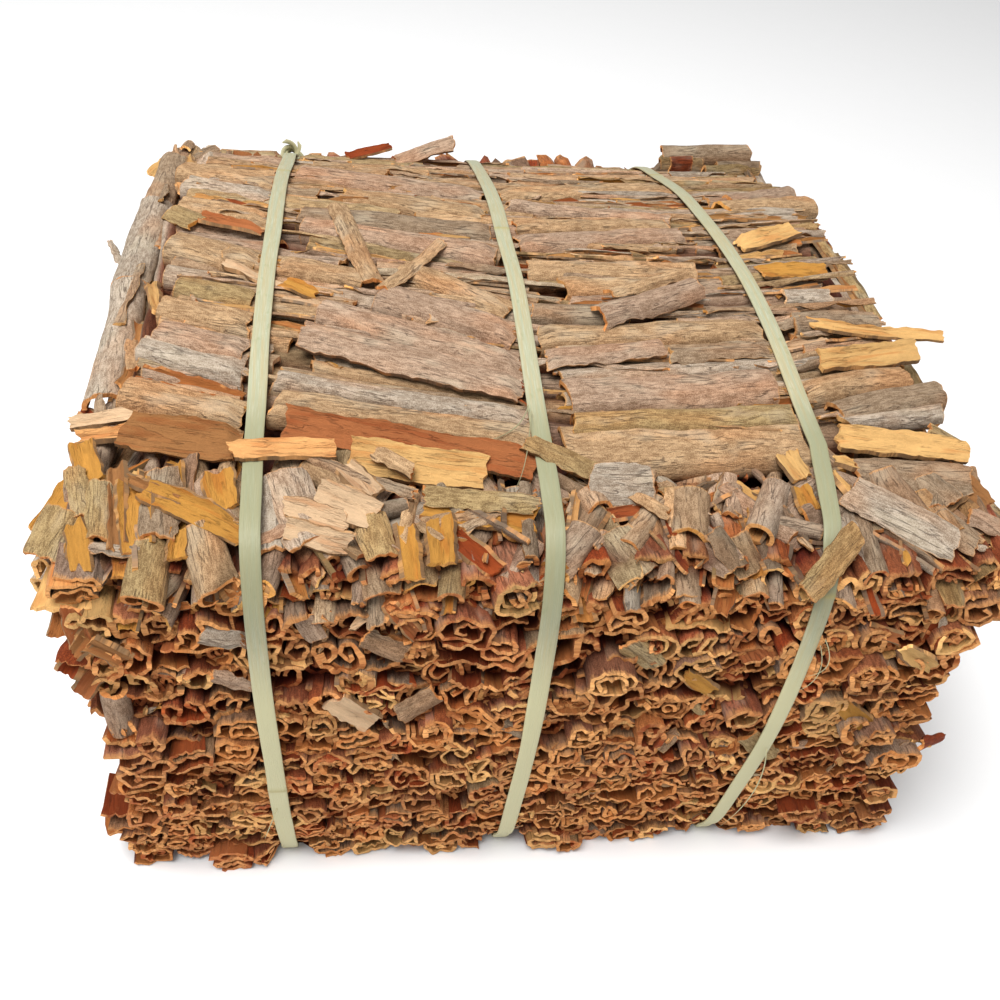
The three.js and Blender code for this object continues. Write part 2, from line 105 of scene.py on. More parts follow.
def crown(y):
    """Height of the cross layer: a straight fall from its front edge to its back edge, plus a parabola."""
    t = (y - CROSS_FRONT) / CROSS_DEPTH
    return CROWN_FRONT - CROWN_FALL * t + CROWN_BULGE * t * (1 - t)


def front(z):
    """Y of the front face: a straight step out towards the foot, plus a parabola."""
    t = 1 - z / FRONT_HEIGHT
    return FRONT_EDGE - FRONT_STEP * t - FRONT_BULGE * t * (1 - t)


def flared_front(z):
    """The front face between the bands, which bulges out further near the foot, by a square."""
    return front(z) - FLARE * np.maximum(0, 1 - z / FLARE_HEIGHT) ** 2


def back(z):
    """Y of the back face: a parabola."""
    t = z / BACK_HEIGHT
    return BACK_EDGE + BACK_BULGE * t * (1 - t)


def left(z):
    """X of the left side, which spreads by squares below and above its waist."""
    edge, waist = LEFT_WAIST
    return edge - np.where(z < waist, 12 * (1 - z / waist) ** 2, 25 * ((z - waist) / 90) ** 2)


def right(z):
    """X of the right side, which spreads in the same way."""
    edge, waist = RIGHT_WAIST
    return edge + np.where(z < waist, 18 * (1 - z / waist) ** 2, 20 * ((z - waist) / 70) ** 2)


def shoulder(y):
    """Height of the quills between the cross layer and the front face: a straight rise towards the back."""
    return SHOULDER_FRONT + SHOULDER_RISE * (y - FRONT_EDGE) / SHOULDER_DEPTH


# The depth below is what the bark material turns into painted shade.
def depth_inside(corners):
    """How deep points lie in the bale, in millimetres: the least of their distances below the top and behind the
    front, the back and both sides, less what the uneven surface takes up."""
    x, y, z = corners.T
    top = np.where(y > CROSS_FRONT, crown(y) - 3.5, shoulder(y) + 1.5) - z
    ends = np.minimum(y - flared_front(z), back(z) - y) - 2
    sides = np.minimum(x - left(z), right(z) - x) - 4 - 14 * np.clip((z - 165) / 20, 0, 1)
    return np.maximum(np.minimum(top, np.minimum(ends, sides)), 0)


def bow(x):
    """How far back a cross quill lies at X, beyond its place at the middle band."""
    return 0.2 * np.maximum(0, -x) + 0.18 * np.maximum(0, x - 105)


def band_x(band, y, z):
    """X of a band's middle: straight along the cross quills, on to the turn, and from there to its foot."""
    at_back, at_front, at_turn, at_foot = BAND_PLACES[band]
    before = at_front + (at_turn - at_front) * np.clip((CROSS_FRONT - y) / 55, 0, 1)
    top = before + (at_back - before) * np.clip((y - CROSS_FRONT) / CROSS_DEPTH, 0, 1)
    foot = at_foot + (at_back - at_foot) * np.clip((y + 196) / 392, 0, 1)
    return top + (foot - top) * np.clip(1 - z / CROWN_FRONT, 0, 1)


def band_route(stations):
    """A closed curve of Y and Z round the bale, 1.6 mm off its form: a cubic through each pair of points with a
    slope of half the chord across its two neighbours, cut into equal lengths."""
    rest, lowest = 1.6, 0.9
    points = [(front(z) - rest, z) for z in (12, 50, 110, 165, 195)] + [(-190, 215)]
    points += [(y, rest + (CROWN_FRONT if y < CROSS_FRONT else crown(y))) for y in (-165, -130, -60, 0, 80, 150, 192)]
    points += [(back(z) + rest, z) for z in (170, 110, 50, 12)]
    points += [(y, lowest) for y in (190, 100, 0, -100, -190)]
    p = np.array(points, float)
    slope = (np.roll(p, -1, 0) - np.roll(p, 1, 0)) / 2
    t = np.linspace(0, 1, 40, endpoint=False)[None, :, None]
    a, b, sa, sb = p[:, None], np.roll(p, -1, 0)[:, None], slope[:, None], np.roll(slope, -1, 0)[:, None]
    fine = (2 * t**3 - 3 * t**2 + 1) * a + (t**3 - 2 * t**2 + t) * sa + (3 * t**2 - 2 * t**3) * b + (t**3 - t**2) * sb
    fine = fine.reshape(-1, 2)
    fine = np.vstack([fine, fine[:1]])
    route = evened(fine, stations, closed=True)
    route[:, 1] = np.maximum(route[:, 1], lowest)
    return route, arc_length(fine)[-1]


def outward(route):
    """Unit normals of a closed route of Y and Z that runs up the front and back over the top."""
    ahead = np.roll(route, -1, 0) - np.roll(route, 1, 0)
    normal = np.stack([-ahead[:, 1], ahead[:, 0]], 1)
    return normal / np.linalg.norm(normal, axis=1, keepdims=True)


def model_origin():
    """Where the bale's own origin lies in the frame, from the middle band's lowest X and Y."""
    route, _ = band_route(400)
    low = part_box("bamboo_band_middle")[0]
    skin = 0.7
    lowest_x = np.min(band_x("bamboo_band_middle", route[:, 0], route[:, 1])) - SOLID_BAND_WIDTH / 2
    return np.array([low.x / MM - lowest_x, low.y / MM - (route[:, 0].min() - skin), 0.0])


# ---- Numbers that vary from piece to piece ----
# Each piece of bark has a whole number of its own, its seed, and each of its properties a series of its own, so that
# no two properties go together. The seeds of each kind of piece start here.
FIRST_SEED = {
    "upper quills": 900, "back ends": 1000, "under rows": 1600, "splinters": 2000, "short quills": 3000,
    "margins": 4000, "margin strips": 4300, "side quills": 5000, "side strips": 5400, "foot quills": 5600,
    "chips": 6000, "boards": 7000, "boards over bands": 7500, "wavy layers": 8000,
}


def chance(item, series):
    """A repeatable number from 0 to 1: the broken part of a large multiple of a sine."""
    value = np.sin(np.asarray(item, float) * 12.9898 + series * 78.233) * 43758.5453
    return value - np.floor(value)


def vary(item, series, low, high):
    """A repeatable number from low to high."""
    return low + (high - low) * chance(item, series)


def ripple(u, v, seed, eased=True):
    """Noise from -1 to 1: random heights at whole numbers, eased from one to the next or joined by straight lines."""
    u, v = np.broadcast_arrays(np.asarray(u, float), np.asarray(v, float))
    iu, iv = np.floor(u), np.floor(v)
    fu, fv = u - iu, v - iv
    if eased:
        fu, fv = fu * fu * (3 - 2 * fu), fv * fv * (3 - 2 * fv)

    def height(a, b):
        return chance((iu + a) * 7.31 + (iv + b) * 61.17 + 0.5, seed % 997 + 1)

    low = height(0, 0) * (1 - fu) + height(1, 0) * fu
    high = height(0, 1) * (1 - fu) + height(1, 1) * fu
    return 2 * (low * (1 - fv) + high * fv) - 1


def jag(s, seed, teeth=7):
    """The line of a broken end, from 0 to 1: a slant, one long wave, and small teeth, all with straight sides."""
    slant = vary(seed, 81, -0.8, 0.8) * (s - 0.5)
    line = 0.45 + slant + 0.3 * ripple(s * 2.3, 0, seed + 5, False) + 0.22 * ripple(s * teeth, 3, seed + 9, False)
    return np.clip(line, 0, 1.2)


# ---- Colours ----
def shade(red, green, blue):
    """A display colour of 0 to 255 as light."""
    value = np.array([red, green, blue]) / 255
    return tuple(float(v) for v in np.where(value < 0.04045, value / 12.92, ((value + 0.055) / 1.055) ** 2.4))


# ---- Sheets of bark ----
# What the attribute side says of each face, and the value past which the material takes a face for that part.
SIDE = {"outer": 0.0, "long edge": 0.3, "end": 0.6, "inner": 1.0}
HALF_WAY_TO = {"long edge": 0.2, "end": 0.5, "inner": 0.8}
_TOPOLOGY = {}


def shell_faces(across, along):
    """The faces of a closed sheet on a grid: outer side, inner side, two long edges and two ends."""
    if (across, along) in _TOPOLOGY:
        return _TOPOLOGY[across, along]
    outer = np.arange(across * along).reshape(across, along)
    inner = outer + across * along

    def quads(a, b, c, d):
        return np.stack([a.ravel(), b.ravel(), c.ravel(), d.ravel()], 1)

    groups = [
        quads(outer[:-1, :-1], outer[1:, :-1], outer[1:, 1:], outer[:-1, 1:]),
        quads(inner[:-1, :-1], inner[:-1, 1:], inner[1:, 1:], inner[1:, :-1]),
        quads(outer[0, :-1], outer[0, 1:], inner[0, 1:], inner[0, :-1]),
        quads(outer[-1, 1:], outer[-1, :-1], inner[-1, :-1], inner[-1, 1:]),
        quads(outer[:-1, 0], inner[:-1, 0], inner[1:, 0], outer[1:, 0]),
        quads(outer[1:, -1], inner[1:, -1], inner[:-1, -1], outer[:-1, -1]),
    ]
    parts = ("outer", "inner", "long edge", "long edge", "end", "end")
    side = np.repeat([SIDE[part] for part in parts], [len(group) for group in groups])
    _TOPOLOGY[across, along] = np.concatenate(groups), side
    return _TOPOLOGY[across, along]


class Sheets:
    """Closed sheets of bark that become one mesh. Each keeps its outer and inner colour, and its grain."""

    def __init__(self):
        self.corners, self.faces, self.sides = [], [], []
        self.grain, self.rims, self.skins, self.fleshes = [], [], [], []
        self.count = 0

    def add(self, middle, wall, look, grain, rim):
        """Middle surface plus and minus half a wall along its normal, the cross product of its two slopes."""
        across = np.gradient(middle, axis=0)
        along = np.gradient(middle, axis=1)
        normal = np.cross(across, along)
        normal /= np.maximum(np.linalg.norm(normal, axis=2, keepdims=True), 1e-9)
        half = normal * np.broadcast_to(wall, middle.shape[:2])[..., None] / 2
        faces, side = shell_faces(*middle.shape[:2])
        self.corners += [(middle + half).reshape(-1, 3), (middle - half).reshape(-1, 3)]
        self.faces.append(faces + self.count)
        self.count += 2 * middle.shape[0] * middle.shape[1]
        self.sides.append(side)
        self.grain += [grain.reshape(-1, 2)] * 2
        self.rims += [rim.ravel()] * 2
        self.skins.append(np.broadcast_to(look[0], (len(faces), 3)))
        self.fleshes.append(np.broadcast_to(look[1], (len(faces), 3)))

    def build(self, name, pressed):
        """The finished piece, pressed in under the bands if it lies there, and nowhere below the floor."""
        corners = np.concatenate(self.corners)
        if pressed:
            corners = under_bands(corners)
        corners[:, 2] = np.maximum(corners[:, 2], 0.0)
        faces = np.concatenate(self.faces)
        mesh = new_mesh(name, corners, faces)
        paint(mesh, "side", "FLOAT", "FACE", np.concatenate(self.sides))
        paint(mesh, "rim", "FLOAT", "POINT", np.concatenate(self.rims))
        # deep feeds the painted shade of the bark material.
        paint(mesh, "deep", "FLOAT", "POINT", depth_inside(corners))
        paint(mesh, "skin", "FLOAT_COLOR", "FACE", np.concatenate(self.skins))
        paint(mesh, "flesh", "FLOAT_COLOR", "FACE", np.concatenate(self.fleshes))
        spread_grain(mesh, faces, np.concatenate(self.grain))
        piece(mesh, material("cinnamon_bark"), "bark_bale")


def bark_piece(name, *fills, pressed=True):
    """One piece of bark, from functions that put sheets into it, each with what it is given."""
    sheets = Sheets()
    for fill, *given in fills:
        fill(sheets, *given)
    sheets.build(name, pressed)


def new_mesh(name, corners, faces):
    """A mesh of quads from corners in millimetres of the bale's own measure."""
    mesh = bpy.data.meshes.new(name)
    mesh.vertices.add(len(corners))
    mesh.vertices.foreach_set("co", ((corners + ORIGIN) * MM).astype(np.float32).ravel())
    mesh.loops.add(faces.size)
    mesh.loops.foreach_set("vertex_index", faces.astype(np.int32).ravel())
    mesh.polygons.add(len(faces))
    mesh.polygons.foreach_set("loop_start", np.arange(0, faces.size, faces.shape[1], dtype=np.int32))
    mesh.update(calc_edges=True)
    mesh.validate()
    mesh.set_sharp_from_angle(angle=math.radians(38))
    return mesh


def paint(mesh, name, kind, domain, values):
    """Keeps one number or one colour for each face or corner."""
    layer = mesh.attributes.new(name, kind, domain)
    if kind == "FLOAT_COLOR":
        values = np.concatenate([values, np.ones((len(values), 1))], 1)
    layer.data.foreach_set("color" if kind == "FLOAT_COLOR" else "value", values.astype(np.float32).ravel())


def spread_grain(mesh, faces, grain):
    """The map called grain: each corner's place across and along the fibres, at every face that it belongs to."""
    layer = mesh.uv_layers.new(name="grain")
    layer.data.foreach_set("uv", grain[faces.ravel()].astype(np.float32).ravel())


def put(name, data):
    """A new object in the scene."""
    made = bpy.data.objects.new(name, data)
    bpy.context.scene.collection.objects.link(made)
    return made


def piece(mesh, finish, node):
    """A finished piece of the bale at the origin, riding on the frame."""
    made = put(mesh.name, mesh)
    mesh.materials.append(finish)
    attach(made, "root")
    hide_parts(node)


def under_bands(corners):
    """Bark under a band is pressed in: a corner near a band's middle and outside the band's inner face moves back
    along the route's normal, less and less away from the band."""
    reach, slope, inner_face = 11, 5, 1.1
    route, _ = band_route(240)
    normal = outward(route)
    for band in BANDS:
        aside = np.abs(corners[:, 0] - band_x(band, corners[:, 1], corners[:, 2]))
        near = np.where(aside < reach)[0]
        if not len(near):
            continue
        flat = corners[near][:, 1:]
        nearest = np.argmin(((flat[:, None] - route[None]) ** 2).sum(2), 1)
        over = ((flat - route[nearest]) * normal[nearest]).sum(1) + inner_face
        ease = np.clip((reach - aside[near]) / slope, 0, 1)
        corners[near, 1:] -= normal[nearest] * (np.maximum(over, 0) * ease)[:, None]
    return corners


# ---- Sections of a quill, seen end on ----
def curl(turn_one, turn_two, flat, stations, tighten=0.06):
    """Bark that rolls up from both long edges: its radius is 1 less a share for each radian turned, plus a bell of
    the given height in the middle. Cut at equal lengths, in a box from -1 to 1, opening upwards."""
    turn = np.linspace(-turn_one, turn_two, 260)
    radius = np.maximum(1 - tighten * np.abs(turn), 0.18) + flat * np.exp(-((turn / 0.45) ** 2))
    step = np.gradient(turn) * radius
    line = np.cumsum(np.stack([step * np.cos(turn), step * np.sin(turn)], 1), 0)
    return boxed(evened(line, stations))


def arch(sweep, stations):
    """An arc of a circle that sweeps an angle, with its opening downwards, in a box from -1 to 1."""
    angle = np.linspace(-sweep / 2, sweep / 2, stations) + math.pi / 2
    return boxed(np.stack([np.cos(angle), np.sin(angle)], 1))


def folded(folds, stations, wave):
    """A sheet folded to and fro: level layers one above the other, joined by half circles, in a box from -1 to 1.
    A sine bends all the layers together."""
    pitch = 2 / folds
    reach = 1 - pitch / 2
    angle = np.linspace(-math.pi / 2, math.pi / 2, 7)[1:-1]
    line = []
    for fold in range(folds):
        way = 1 if fold % 2 == 0 else -1
        height = -1 + pitch * (fold + 0.5)
        line += [(way * u * reach, height) for u in np.linspace(-1, 1, 9)]
        if fold < folds - 1:
            line += [(way * (reach + math.cos(a) * pitch / 2), height + pitch / 2 * (1 + math.sin(a))) for a in angle]
    line = evened(np.array(line), stations)
    line[:, 1] += 0.6 * pitch * np.sin(line[:, 0] * 2.6 + wave)
    return line


def over_by_chance(section, seed, share, series=79):
    """The section, turned over on a share of the pieces, so that their inner side shows."""
    return turned(section, math.pi) if chance(seed, series) < share else section


# ---- Strips: a section carried along a route ----
def strip(sheets, start, stop, up, section, look, seed, wall=2.1, rag=4.0, edge=0.08, wobble=0.5, stations=30,
          sag=0.0, crack=0.0, pinch=0.0, twist=0.0, relief=0.28):
    """Point (s, t) is the route's point at length t between two ragged ends, plus the section's point s across it.
    The long edges wander by the share edge, and smooth noise of the strength wobble swells the section. Sag bends the
    route up by a parabola, pinch narrows both ends by a power of 2.5, twist turns the section by an angle from end to
    end, relief is noise along the fibres, and crack thins the wall along one wandering line by a bell."""
    start, stop, up = (np.asarray(v, float) for v in (start, stop, up))
    along = stop - start
    length = np.linalg.norm(along)
    along /= length
    side = np.cross(up, along)
    side /= np.linalg.norm(side)
    rise = np.cross(along, side)
    count = len(section)
    s = np.linspace(0, 1, count)[:, None]
    t = np.linspace(0, 1, stations)[None, :]
    lead_rag, tail_rag = rag if isinstance(rag, tuple) else (rag, rag)
    lead = lead_rag * jag(s, seed)
    tail = length - tail_rag * jag(s, seed + 3)
    where = lead + (tail - lead) * t
    reach = arc_length(section)[-1]
    tooth = 0.7 / reach
    low = edge * (0.5 + 0.5 * np.clip(1.9 * ripple(where / 15, 0, seed + 11), -1, 1))
    low = low + tooth * (1 + ripple(where / 2.6, 3, seed + 21, False))
    high = 1 - edge * (0.5 + 0.5 * np.clip(1.9 * ripple(where / 13, 7, seed + 12), -1, 1))
    high = high - tooth * (1 + ripple(where / 2.9, 5, seed + 22, False))
    narrow = pinch * 0.5 * np.abs(2 * where / length - 1) ** 2.5
    share = np.clip(low + narrow + (high - low - 2 * narrow) * s, 0, 1)
    grid = np.linspace(0, 1, count)
    swell = 1 + 0.05 * ripple(where / 40, 1, seed + 13) + wobble * 0.06 * ripple(share * 5, where / 24, seed + 14)
    across = np.interp(share, grid, section[:, 0]) * swell
    over = np.interp(share, grid, section[:, 1]) * swell
    across = across + 1.2 * wobble * ripple(0, where / 34, seed + 15)
    over = over + wobble * ripple(share * 3, where / 9, seed + 16) * 0.5
    lift = sag * 4 * t * (1 - t)
    turn = twist * (t - 0.5)
    across, over = across * np.cos(turn) - over * np.sin(turn), across * np.sin(turn) + over * np.cos(turn)
    over = over + relief * ripple(share * reach / 1.7, where / 32, seed + 19)
    over = over + 0.6 * relief * ripple(share * reach / 4, where / 12, seed + 20)
    middle = start + along * where[..., None] + side * across[..., None] + rise * (over + lift)[..., None]
    grain = np.stack([share * reach / 10 + vary(seed, 90, 0, 30), where / 10 + vary(seed, 91, 0, 30)], -1)
    rim = np.minimum(np.minimum(where - lead, tail - where), 2.5 * np.minimum(s, 1 - s) * reach)
    thick = wall * (1 + 0.12 * ripple(share * reach / 2.5, where / 14, seed + 17))
    if crack:
        line = vary(seed, 92, 0.3, 0.7) + 0.12 * ripple(where / 30, 2, seed + 18)
        thick = thick * (1 - crack * np.exp(-(((share - line) * reach / 1.1) ** 2)))
    sheets.add(middle, thick, look, grain, np.maximum(rim, 0))


# ---- Quill ends ----
def row_height(row):
    """Rows of quill ends are a little higher towards the top."""
    return ROW_HEIGHT + ROW_GROWTH * row / (ROWS - 1)


def packed_ends(stretch=0):
    """Rows of quill ends: in each row the shares of its length vary, and the rows grow towards the top."""
    places = []
    usual_width = 17
    z = LOWEST_ROW
    for row in range(ROWS):
        height = row_height(row)
        middle = z + height / 2
        low, high = float(left(middle)), float(right(middle))
        count = round((high - low) / usual_width)
        items = row * 40 + np.arange(count)
        shares = vary(items, 21 + stretch, 0.62, 1.38)
        width = (high - low) * shares / shares.sum()
        x = low + np.cumsum(width) - width / 2
        lift = vary(items, 22 + stretch, -2.5, 2.5)
        places.append(np.stack([x, middle + lift, width, np.full(count, height), items, np.full(count, row)], 1))
        z += height
    return np.concatenate(places)


def cell_radii(places, angles):
    """How far each cell reaches at each angle: the nearest line of equal power between it and its neighbours."""
    spot = places[:, :2]
    power = places[:, 2] * places[:, 3] / 6
    gap = spot[None] - spot[:, None]
    span = (gap**2).sum(2) + power[:, None] - power[None]
    heading = np.stack([np.cos(angles), np.sin(angles)], 1)
    toward = gap @ heading.T
    reach = np.where(toward > 0.05, span[..., None] / np.maximum(2 * toward, 0.1), 99.0)
    reach[np.arange(len(spot)), np.arange(len(spot))] = 99.0
    round_form = 1 / np.hypot(heading[None, :, 0] / (places[:, 2:3] / 2), heading[None, :, 1] / (places[:, 3:4] / 2))
    reach = np.clip(reach.min(1), 3.0, 1.22 * round_form)
    floor = (spot[:, 1:] - 0.6) / np.maximum(-heading[:, 1], 1e-3)[None]
    ceiling = np.maximum(207 - spot[:, 1:], 4) / np.maximum(heading[:, 1], 1e-3)[None]
    reach = np.minimum(reach, np.minimum(floor, ceiling))
    return sum(share * np.roll(reach, turn, 1) for turn, share in zip(range(-2, 3), (1, 2, 3, 2, 1))) / 9


def fitted(section, radii, angles, inset):
    """A section stretched to fill its cell: each point moves along its own ray, by the cell's reach on that ray over
    the section's own reach there, so that inner turns stay inside outer ones."""
    heading = np.arctan2(section[:, 1], section[:, 0]) % (2 * math.pi)
    length = np.hypot(section[:, 0], section[:, 1])
    bins = (heading / (2 * math.pi) * len(angles)).astype(int) % len(angles)
    own = np.zeros(len(angles))
    np.maximum.at(own, bins, length)
    known = own > 0
    own = np.interp(angles, angles[known], own[known], period=2 * math.pi)
    own = np.maximum((np.roll(own, 1) + 2 * own + np.roll(own, -1)) / 4, 0.45)
    scale = np.clip((radii - inset) / own, 1.2, 60)
    factor = np.interp(heading, angles, scale, period=2 * math.pi)
    return section * factor[:, None]


ANGLES = np.arange(32) * 2 * math.pi / 32


def end_sections(seed, row, radii, detail):
    """The curls that fill one cell, as sections in millimetres with how far each lies back: a double roll, a single
    roll, nested curls, or a folded sheet."""
    kind = chance(seed, 40) + (0.06 if row < 9 else 0)
    opening = vary(seed, 41, 0, 2 * math.pi)
    if kind < 0.26:
        turns = vary(seed, 42, 6.4, 8.4)
        made = [(curl(turns, turns * vary(seed, 43, 0.7, 1.1), vary(seed, 44, 1.2, 2.6), detail[0], 0.1), 1.0, 0)]
        opening = vary(seed, 41, -1.2, 1.2)
    elif kind < 0.52:
        made = [(curl(vary(seed, 42, 0.8, 1.8), vary(seed, 43, 10.0, 14.0), 0.2, detail[0], 0.058), 1.0, 0)]
    elif kind < 0.86:
        turns = vary(seed, 42, 1.8, 2.8), vary(seed, 43, 1.8, 2.8)
        made = [(curl(*turns, vary(seed, 44, 0, 0.8), detail[1], 0.02), 1.0, 0)]
        for size, step in ((0.76, 0), (0.52, 1), (0.27, 2)):
            turns = vary(seed, 45 + step, 1.2, 2.6), vary(seed, 52 + step, 2.0, 4.2)
            inner = turned(curl(*turns, 0.3, detail[2] - 3 * step, 0.03), vary(seed, 47 + step, -1.6, 1.6) + step)
            made.append((inner, size, vary(seed, 58 + step, 0, 4)))
    else:
        made = [(folded(int(vary(seed, 42, 3, 5.6)), detail[0], vary(seed, 43, 0, 6)), 1.0, 0)]
        opening = vary(seed, 41, -0.5, 0.5)
    found = []
    for section, size, behind in made:
        inset = 0.9 if size == 1.0 else 0.2
        found.append((fitted(turned(section, opening), radii * size, ANGLES, inset), behind))
    return found


def quill_ends(sheets, places, face, sense, rows, detail):
    """Point (s, t) of an end is its section's point s, carried from its root to its ragged tip on the face."""
    radii = cell_radii(places, ANGLES)
    for index in np.where((places[:, 5] >= rows[0]) & (places[:, 5] < rows[1]))[0]:
        x, z, _, _, item, row = places[index]
        seed = int(item)
        high = row >= ROWS - 2
        tip = face(z) + sense * vary(seed, 23, -5, 3) + sense * (5 * chance(seed, 48) ** 4)
        tip -= sense * 7 * chance(seed, 39) ** 5
        tip += sense * (vary(seed, 38, -7, 3) if row == ROWS - 1 else 0)
        drift = np.array([vary(seed, 26, -3, 3), vary(seed, 27, -2, 2)]) * (2.2 if high else 1)
        for layer, (section, behind) in enumerate(end_sections(seed, row, radii[index], detail)):
            end_sheet(sheets, section, (x, z), tip, behind, drift, 42.0 if high else 30.0, sense, seed * 3 + layer * 7)


def end_sheet(sheets, section, spot, tip, behind, drift, depth, sense, seed):
    """One layer of an end: its section with buckles and creases, from its root to its ragged tip."""
    steps = np.array([1.0, 0.22, 0.0])[None, :]
    s = np.linspace(0, 1, len(section))[:, None]
    length = arc_length(section)[:, None]
    rag = 3.4 * (jag(s, seed, 10) - 0.4) + 1.0 * ripple(length / 1.7, 0, seed + 2, False) + behind
    slant = 0.12 * vary(seed, 28, -1, 1) * section[:, :1] + 0.12 * vary(seed, 29, -1, 1) * section[:, 1:]
    grow = 1 + 0.08 * ripple(s * 3, steps * 2, seed + 4)
    fold = 0.9 * ripple(length / 3.0, steps * 2, seed + 6), 0.9 * ripple(length / 2.5, steps * 2, seed + 7)
    across = section[:, :1] * grow + drift[0] * steps + fold[0]
    over = section[:, 1:] * grow + drift[1] * steps + fold[1]
    deep = tip - sense * (rag + slant) * (1 - steps) - sense * depth * steps
    middle = np.stack([spot[0] - sense * across, deep, spot[1] + over], -1)
    grain = np.stack(np.broadcast_arrays(length / 10 + vary(seed, 90, 0, 30),
                                         depth * steps / 10 + vary(seed, 91, 0, 30)), -1)
    rim = np.broadcast_to(depth * steps * 0.3, middle.shape[:2])
    wall = vary(seed, 49, 1.45, 2.5) * (1 + 0.32 * ripple(length / 3, steps * 2, seed + 8))
    sheets.add(middle, wall, end_look_worn_and_shaded(seed), grain, rim)


def wavy_layers(sheets, face, sense, rows, each):
    """Torn layers squeezed in between two rows of ends: a level line with three waves, a little behind the face."""
    z = LOWEST_ROW
    for row in range(ROWS - 1):
        z += row_height(row)
        if not rows[0] <= row < rows[1]:
            continue
        low, high = float(left(z)), float(right(z))
        for i in range(each):
            seed = FIRST_SEED["wavy layers"] + row * 90 + i * 3 + (sense + 1) * 900
            x = low + (high - low) * (i + chance(seed, 71)) / each
            width = vary(seed, 73, 11, 30)
            u = np.linspace(-0.5, 0.5, 16)
            line = 2.2 * ripple(u * width / 6, 0, seed + 1) + 1.2 * ripple(u * width / 3, 4, seed + 2)
            hook = vary(seed, 74, -1, 1) * 14 * u**2
            section = np.stack([u * width, line + hook], 1)[::-1]
            section = section if chance(seed, 75) < 0.5 else turned(section, math.pi)
            tip = face(z) - sense * vary(seed, 76, -1.0, 4.0)
            end_sheet(sheets, section, (x, z + vary(seed, 77, -3, 3)), tip, 0, (vary(seed, 78, -4, 4), 0), 22, sense,
                      seed)


# ---- Looks ----
SKINS = ("mauve", "tan", "lilac", "grey", "olive")
FLESHES = ("orange", "russet", "mustard", "cream", "sand", "torn", "amber")


def bark_finish():
    """What the user may change about the bark."""
    return bpy.context.scene.bark_finish


def mixed(names, weights, seed, spread):
    """A colour between two of the named ones, the first picked by weight, lighter or darker by a share."""
    colours = np.array([list(getattr(bark_finish(), name)) for name in names])
    edges = np.cumsum(weights) / np.sum(weights)
    first = int(np.searchsorted(edges, chance(seed, 61)))
    second = int(np.searchsorted(edges, chance(seed, 62)))
    blend = vary(seed, 63, 0, 0.5)
    colour = colours[min(first, len(names) - 1)] * (1 - blend) + colours[min(second, len(names) - 1)] * blend
    return colour * vary(seed, 64, 1 - spread, 1 + spread)


def top_look(seed, skin=None):
    """Outer and inner colour of a piece on top of the bale."""
    outer = mixed(SKINS, (3, 3, 2, 1.6, 1), seed, 0.16) if skin is None else named(skin, seed, 0.08)
    return outer, mixed(FLESHES, (2.4, 0.8, 1.4, 0.3, 1.7, 0.6, 1.4), seed + 5, 0.15)


def shaded_under_look(seed):
    """Outer and inner colour of a piece below the top ones: darker, as painted shade."""
    outer, inner = top_look(seed)
    return outer * 0.75, inner * 0.8


def end_look_worn_and_shaded(seed):
    """Outer and inner colour of a quill end on a face: the skin is brown there, partly wear and partly painted shade
    between the packed ends, and grey on a few, darkened to six tenths as painted shade.
    """
    brown = mixed(("umber", "russet", "orange"), (4, 2, 0.6), seed + 9, 0.2)
    # Painted shade: the skin of an end is darkened to six tenths.
    outer = mixed(SKINS, (1.2, 2, 1.0, 3, 1), seed, 0.22) * 0.6
    grey = vary(seed, 66, 0.6, 1) if chance(seed, 67) < 0.3 else vary(seed, 66, 0, 0.4)
    inner = mixed(("russet", "orange", "rust", "sand"), (2.4, 3.2, 1.2, 1.2), seed + 5, 0.1) * vary(seed, 68, 0.6, 1.2)
    return outer * grey + brown * (1 - grey), inner


def named(name, seed, spread):
    """One of the named colours, lighter or darker by a share."""
    return np.array(getattr(bark_finish(), name)) * vary(seed, 64, 1 - spread, 1 + spread)


UP = (0, 0, 1)

# ---- Cross quills on top ----
# The Y of each packed row at the middle band, and where its quills begin and end.
CROSS_ROWS = (
    (-131, ((-186, -132), (-126, 1), (3, 118))),
    (-119, ((-184, -131), (-128, 2), (8, 122), (131, 195))),
    (-104, ((-178, -118), (-114, -6), (3, 183))),
    (-87, ((-180, -110), (-106, -4), (0, 184))),
    (-68, ((-175, -82), (-78, -3), (2, 118), (124, 186))),
    (-49, ((-181, -70), (-64, 54), (58, 174))),
    (-28, ((-177, -84), (-80, 12), (16, 164))),
    (-8, ((-182, -120), (-114, -10), (-2, 94), (100, 172))),
    (14, ((-184, -124), (-118, -6), (0, 98), (104, 166))),
    (35, ((-180, -60), (-56, 92), (98, 178))),
    (57, ((-184, -100), (-96, 20), (24, 180))),
    (81, ((-188, -12), (-8, 114), (120, 186))),
    (106, ((-186, -60), (-54, 40), (44, 190))),
    (132, ((-190, -124), (-120, 0), (4, 188))),
    (158, ((-186, -30), (-26, 88), (94, 190))),
    (182, ((-180, -100), (-94, 30), (36, 186))),
)
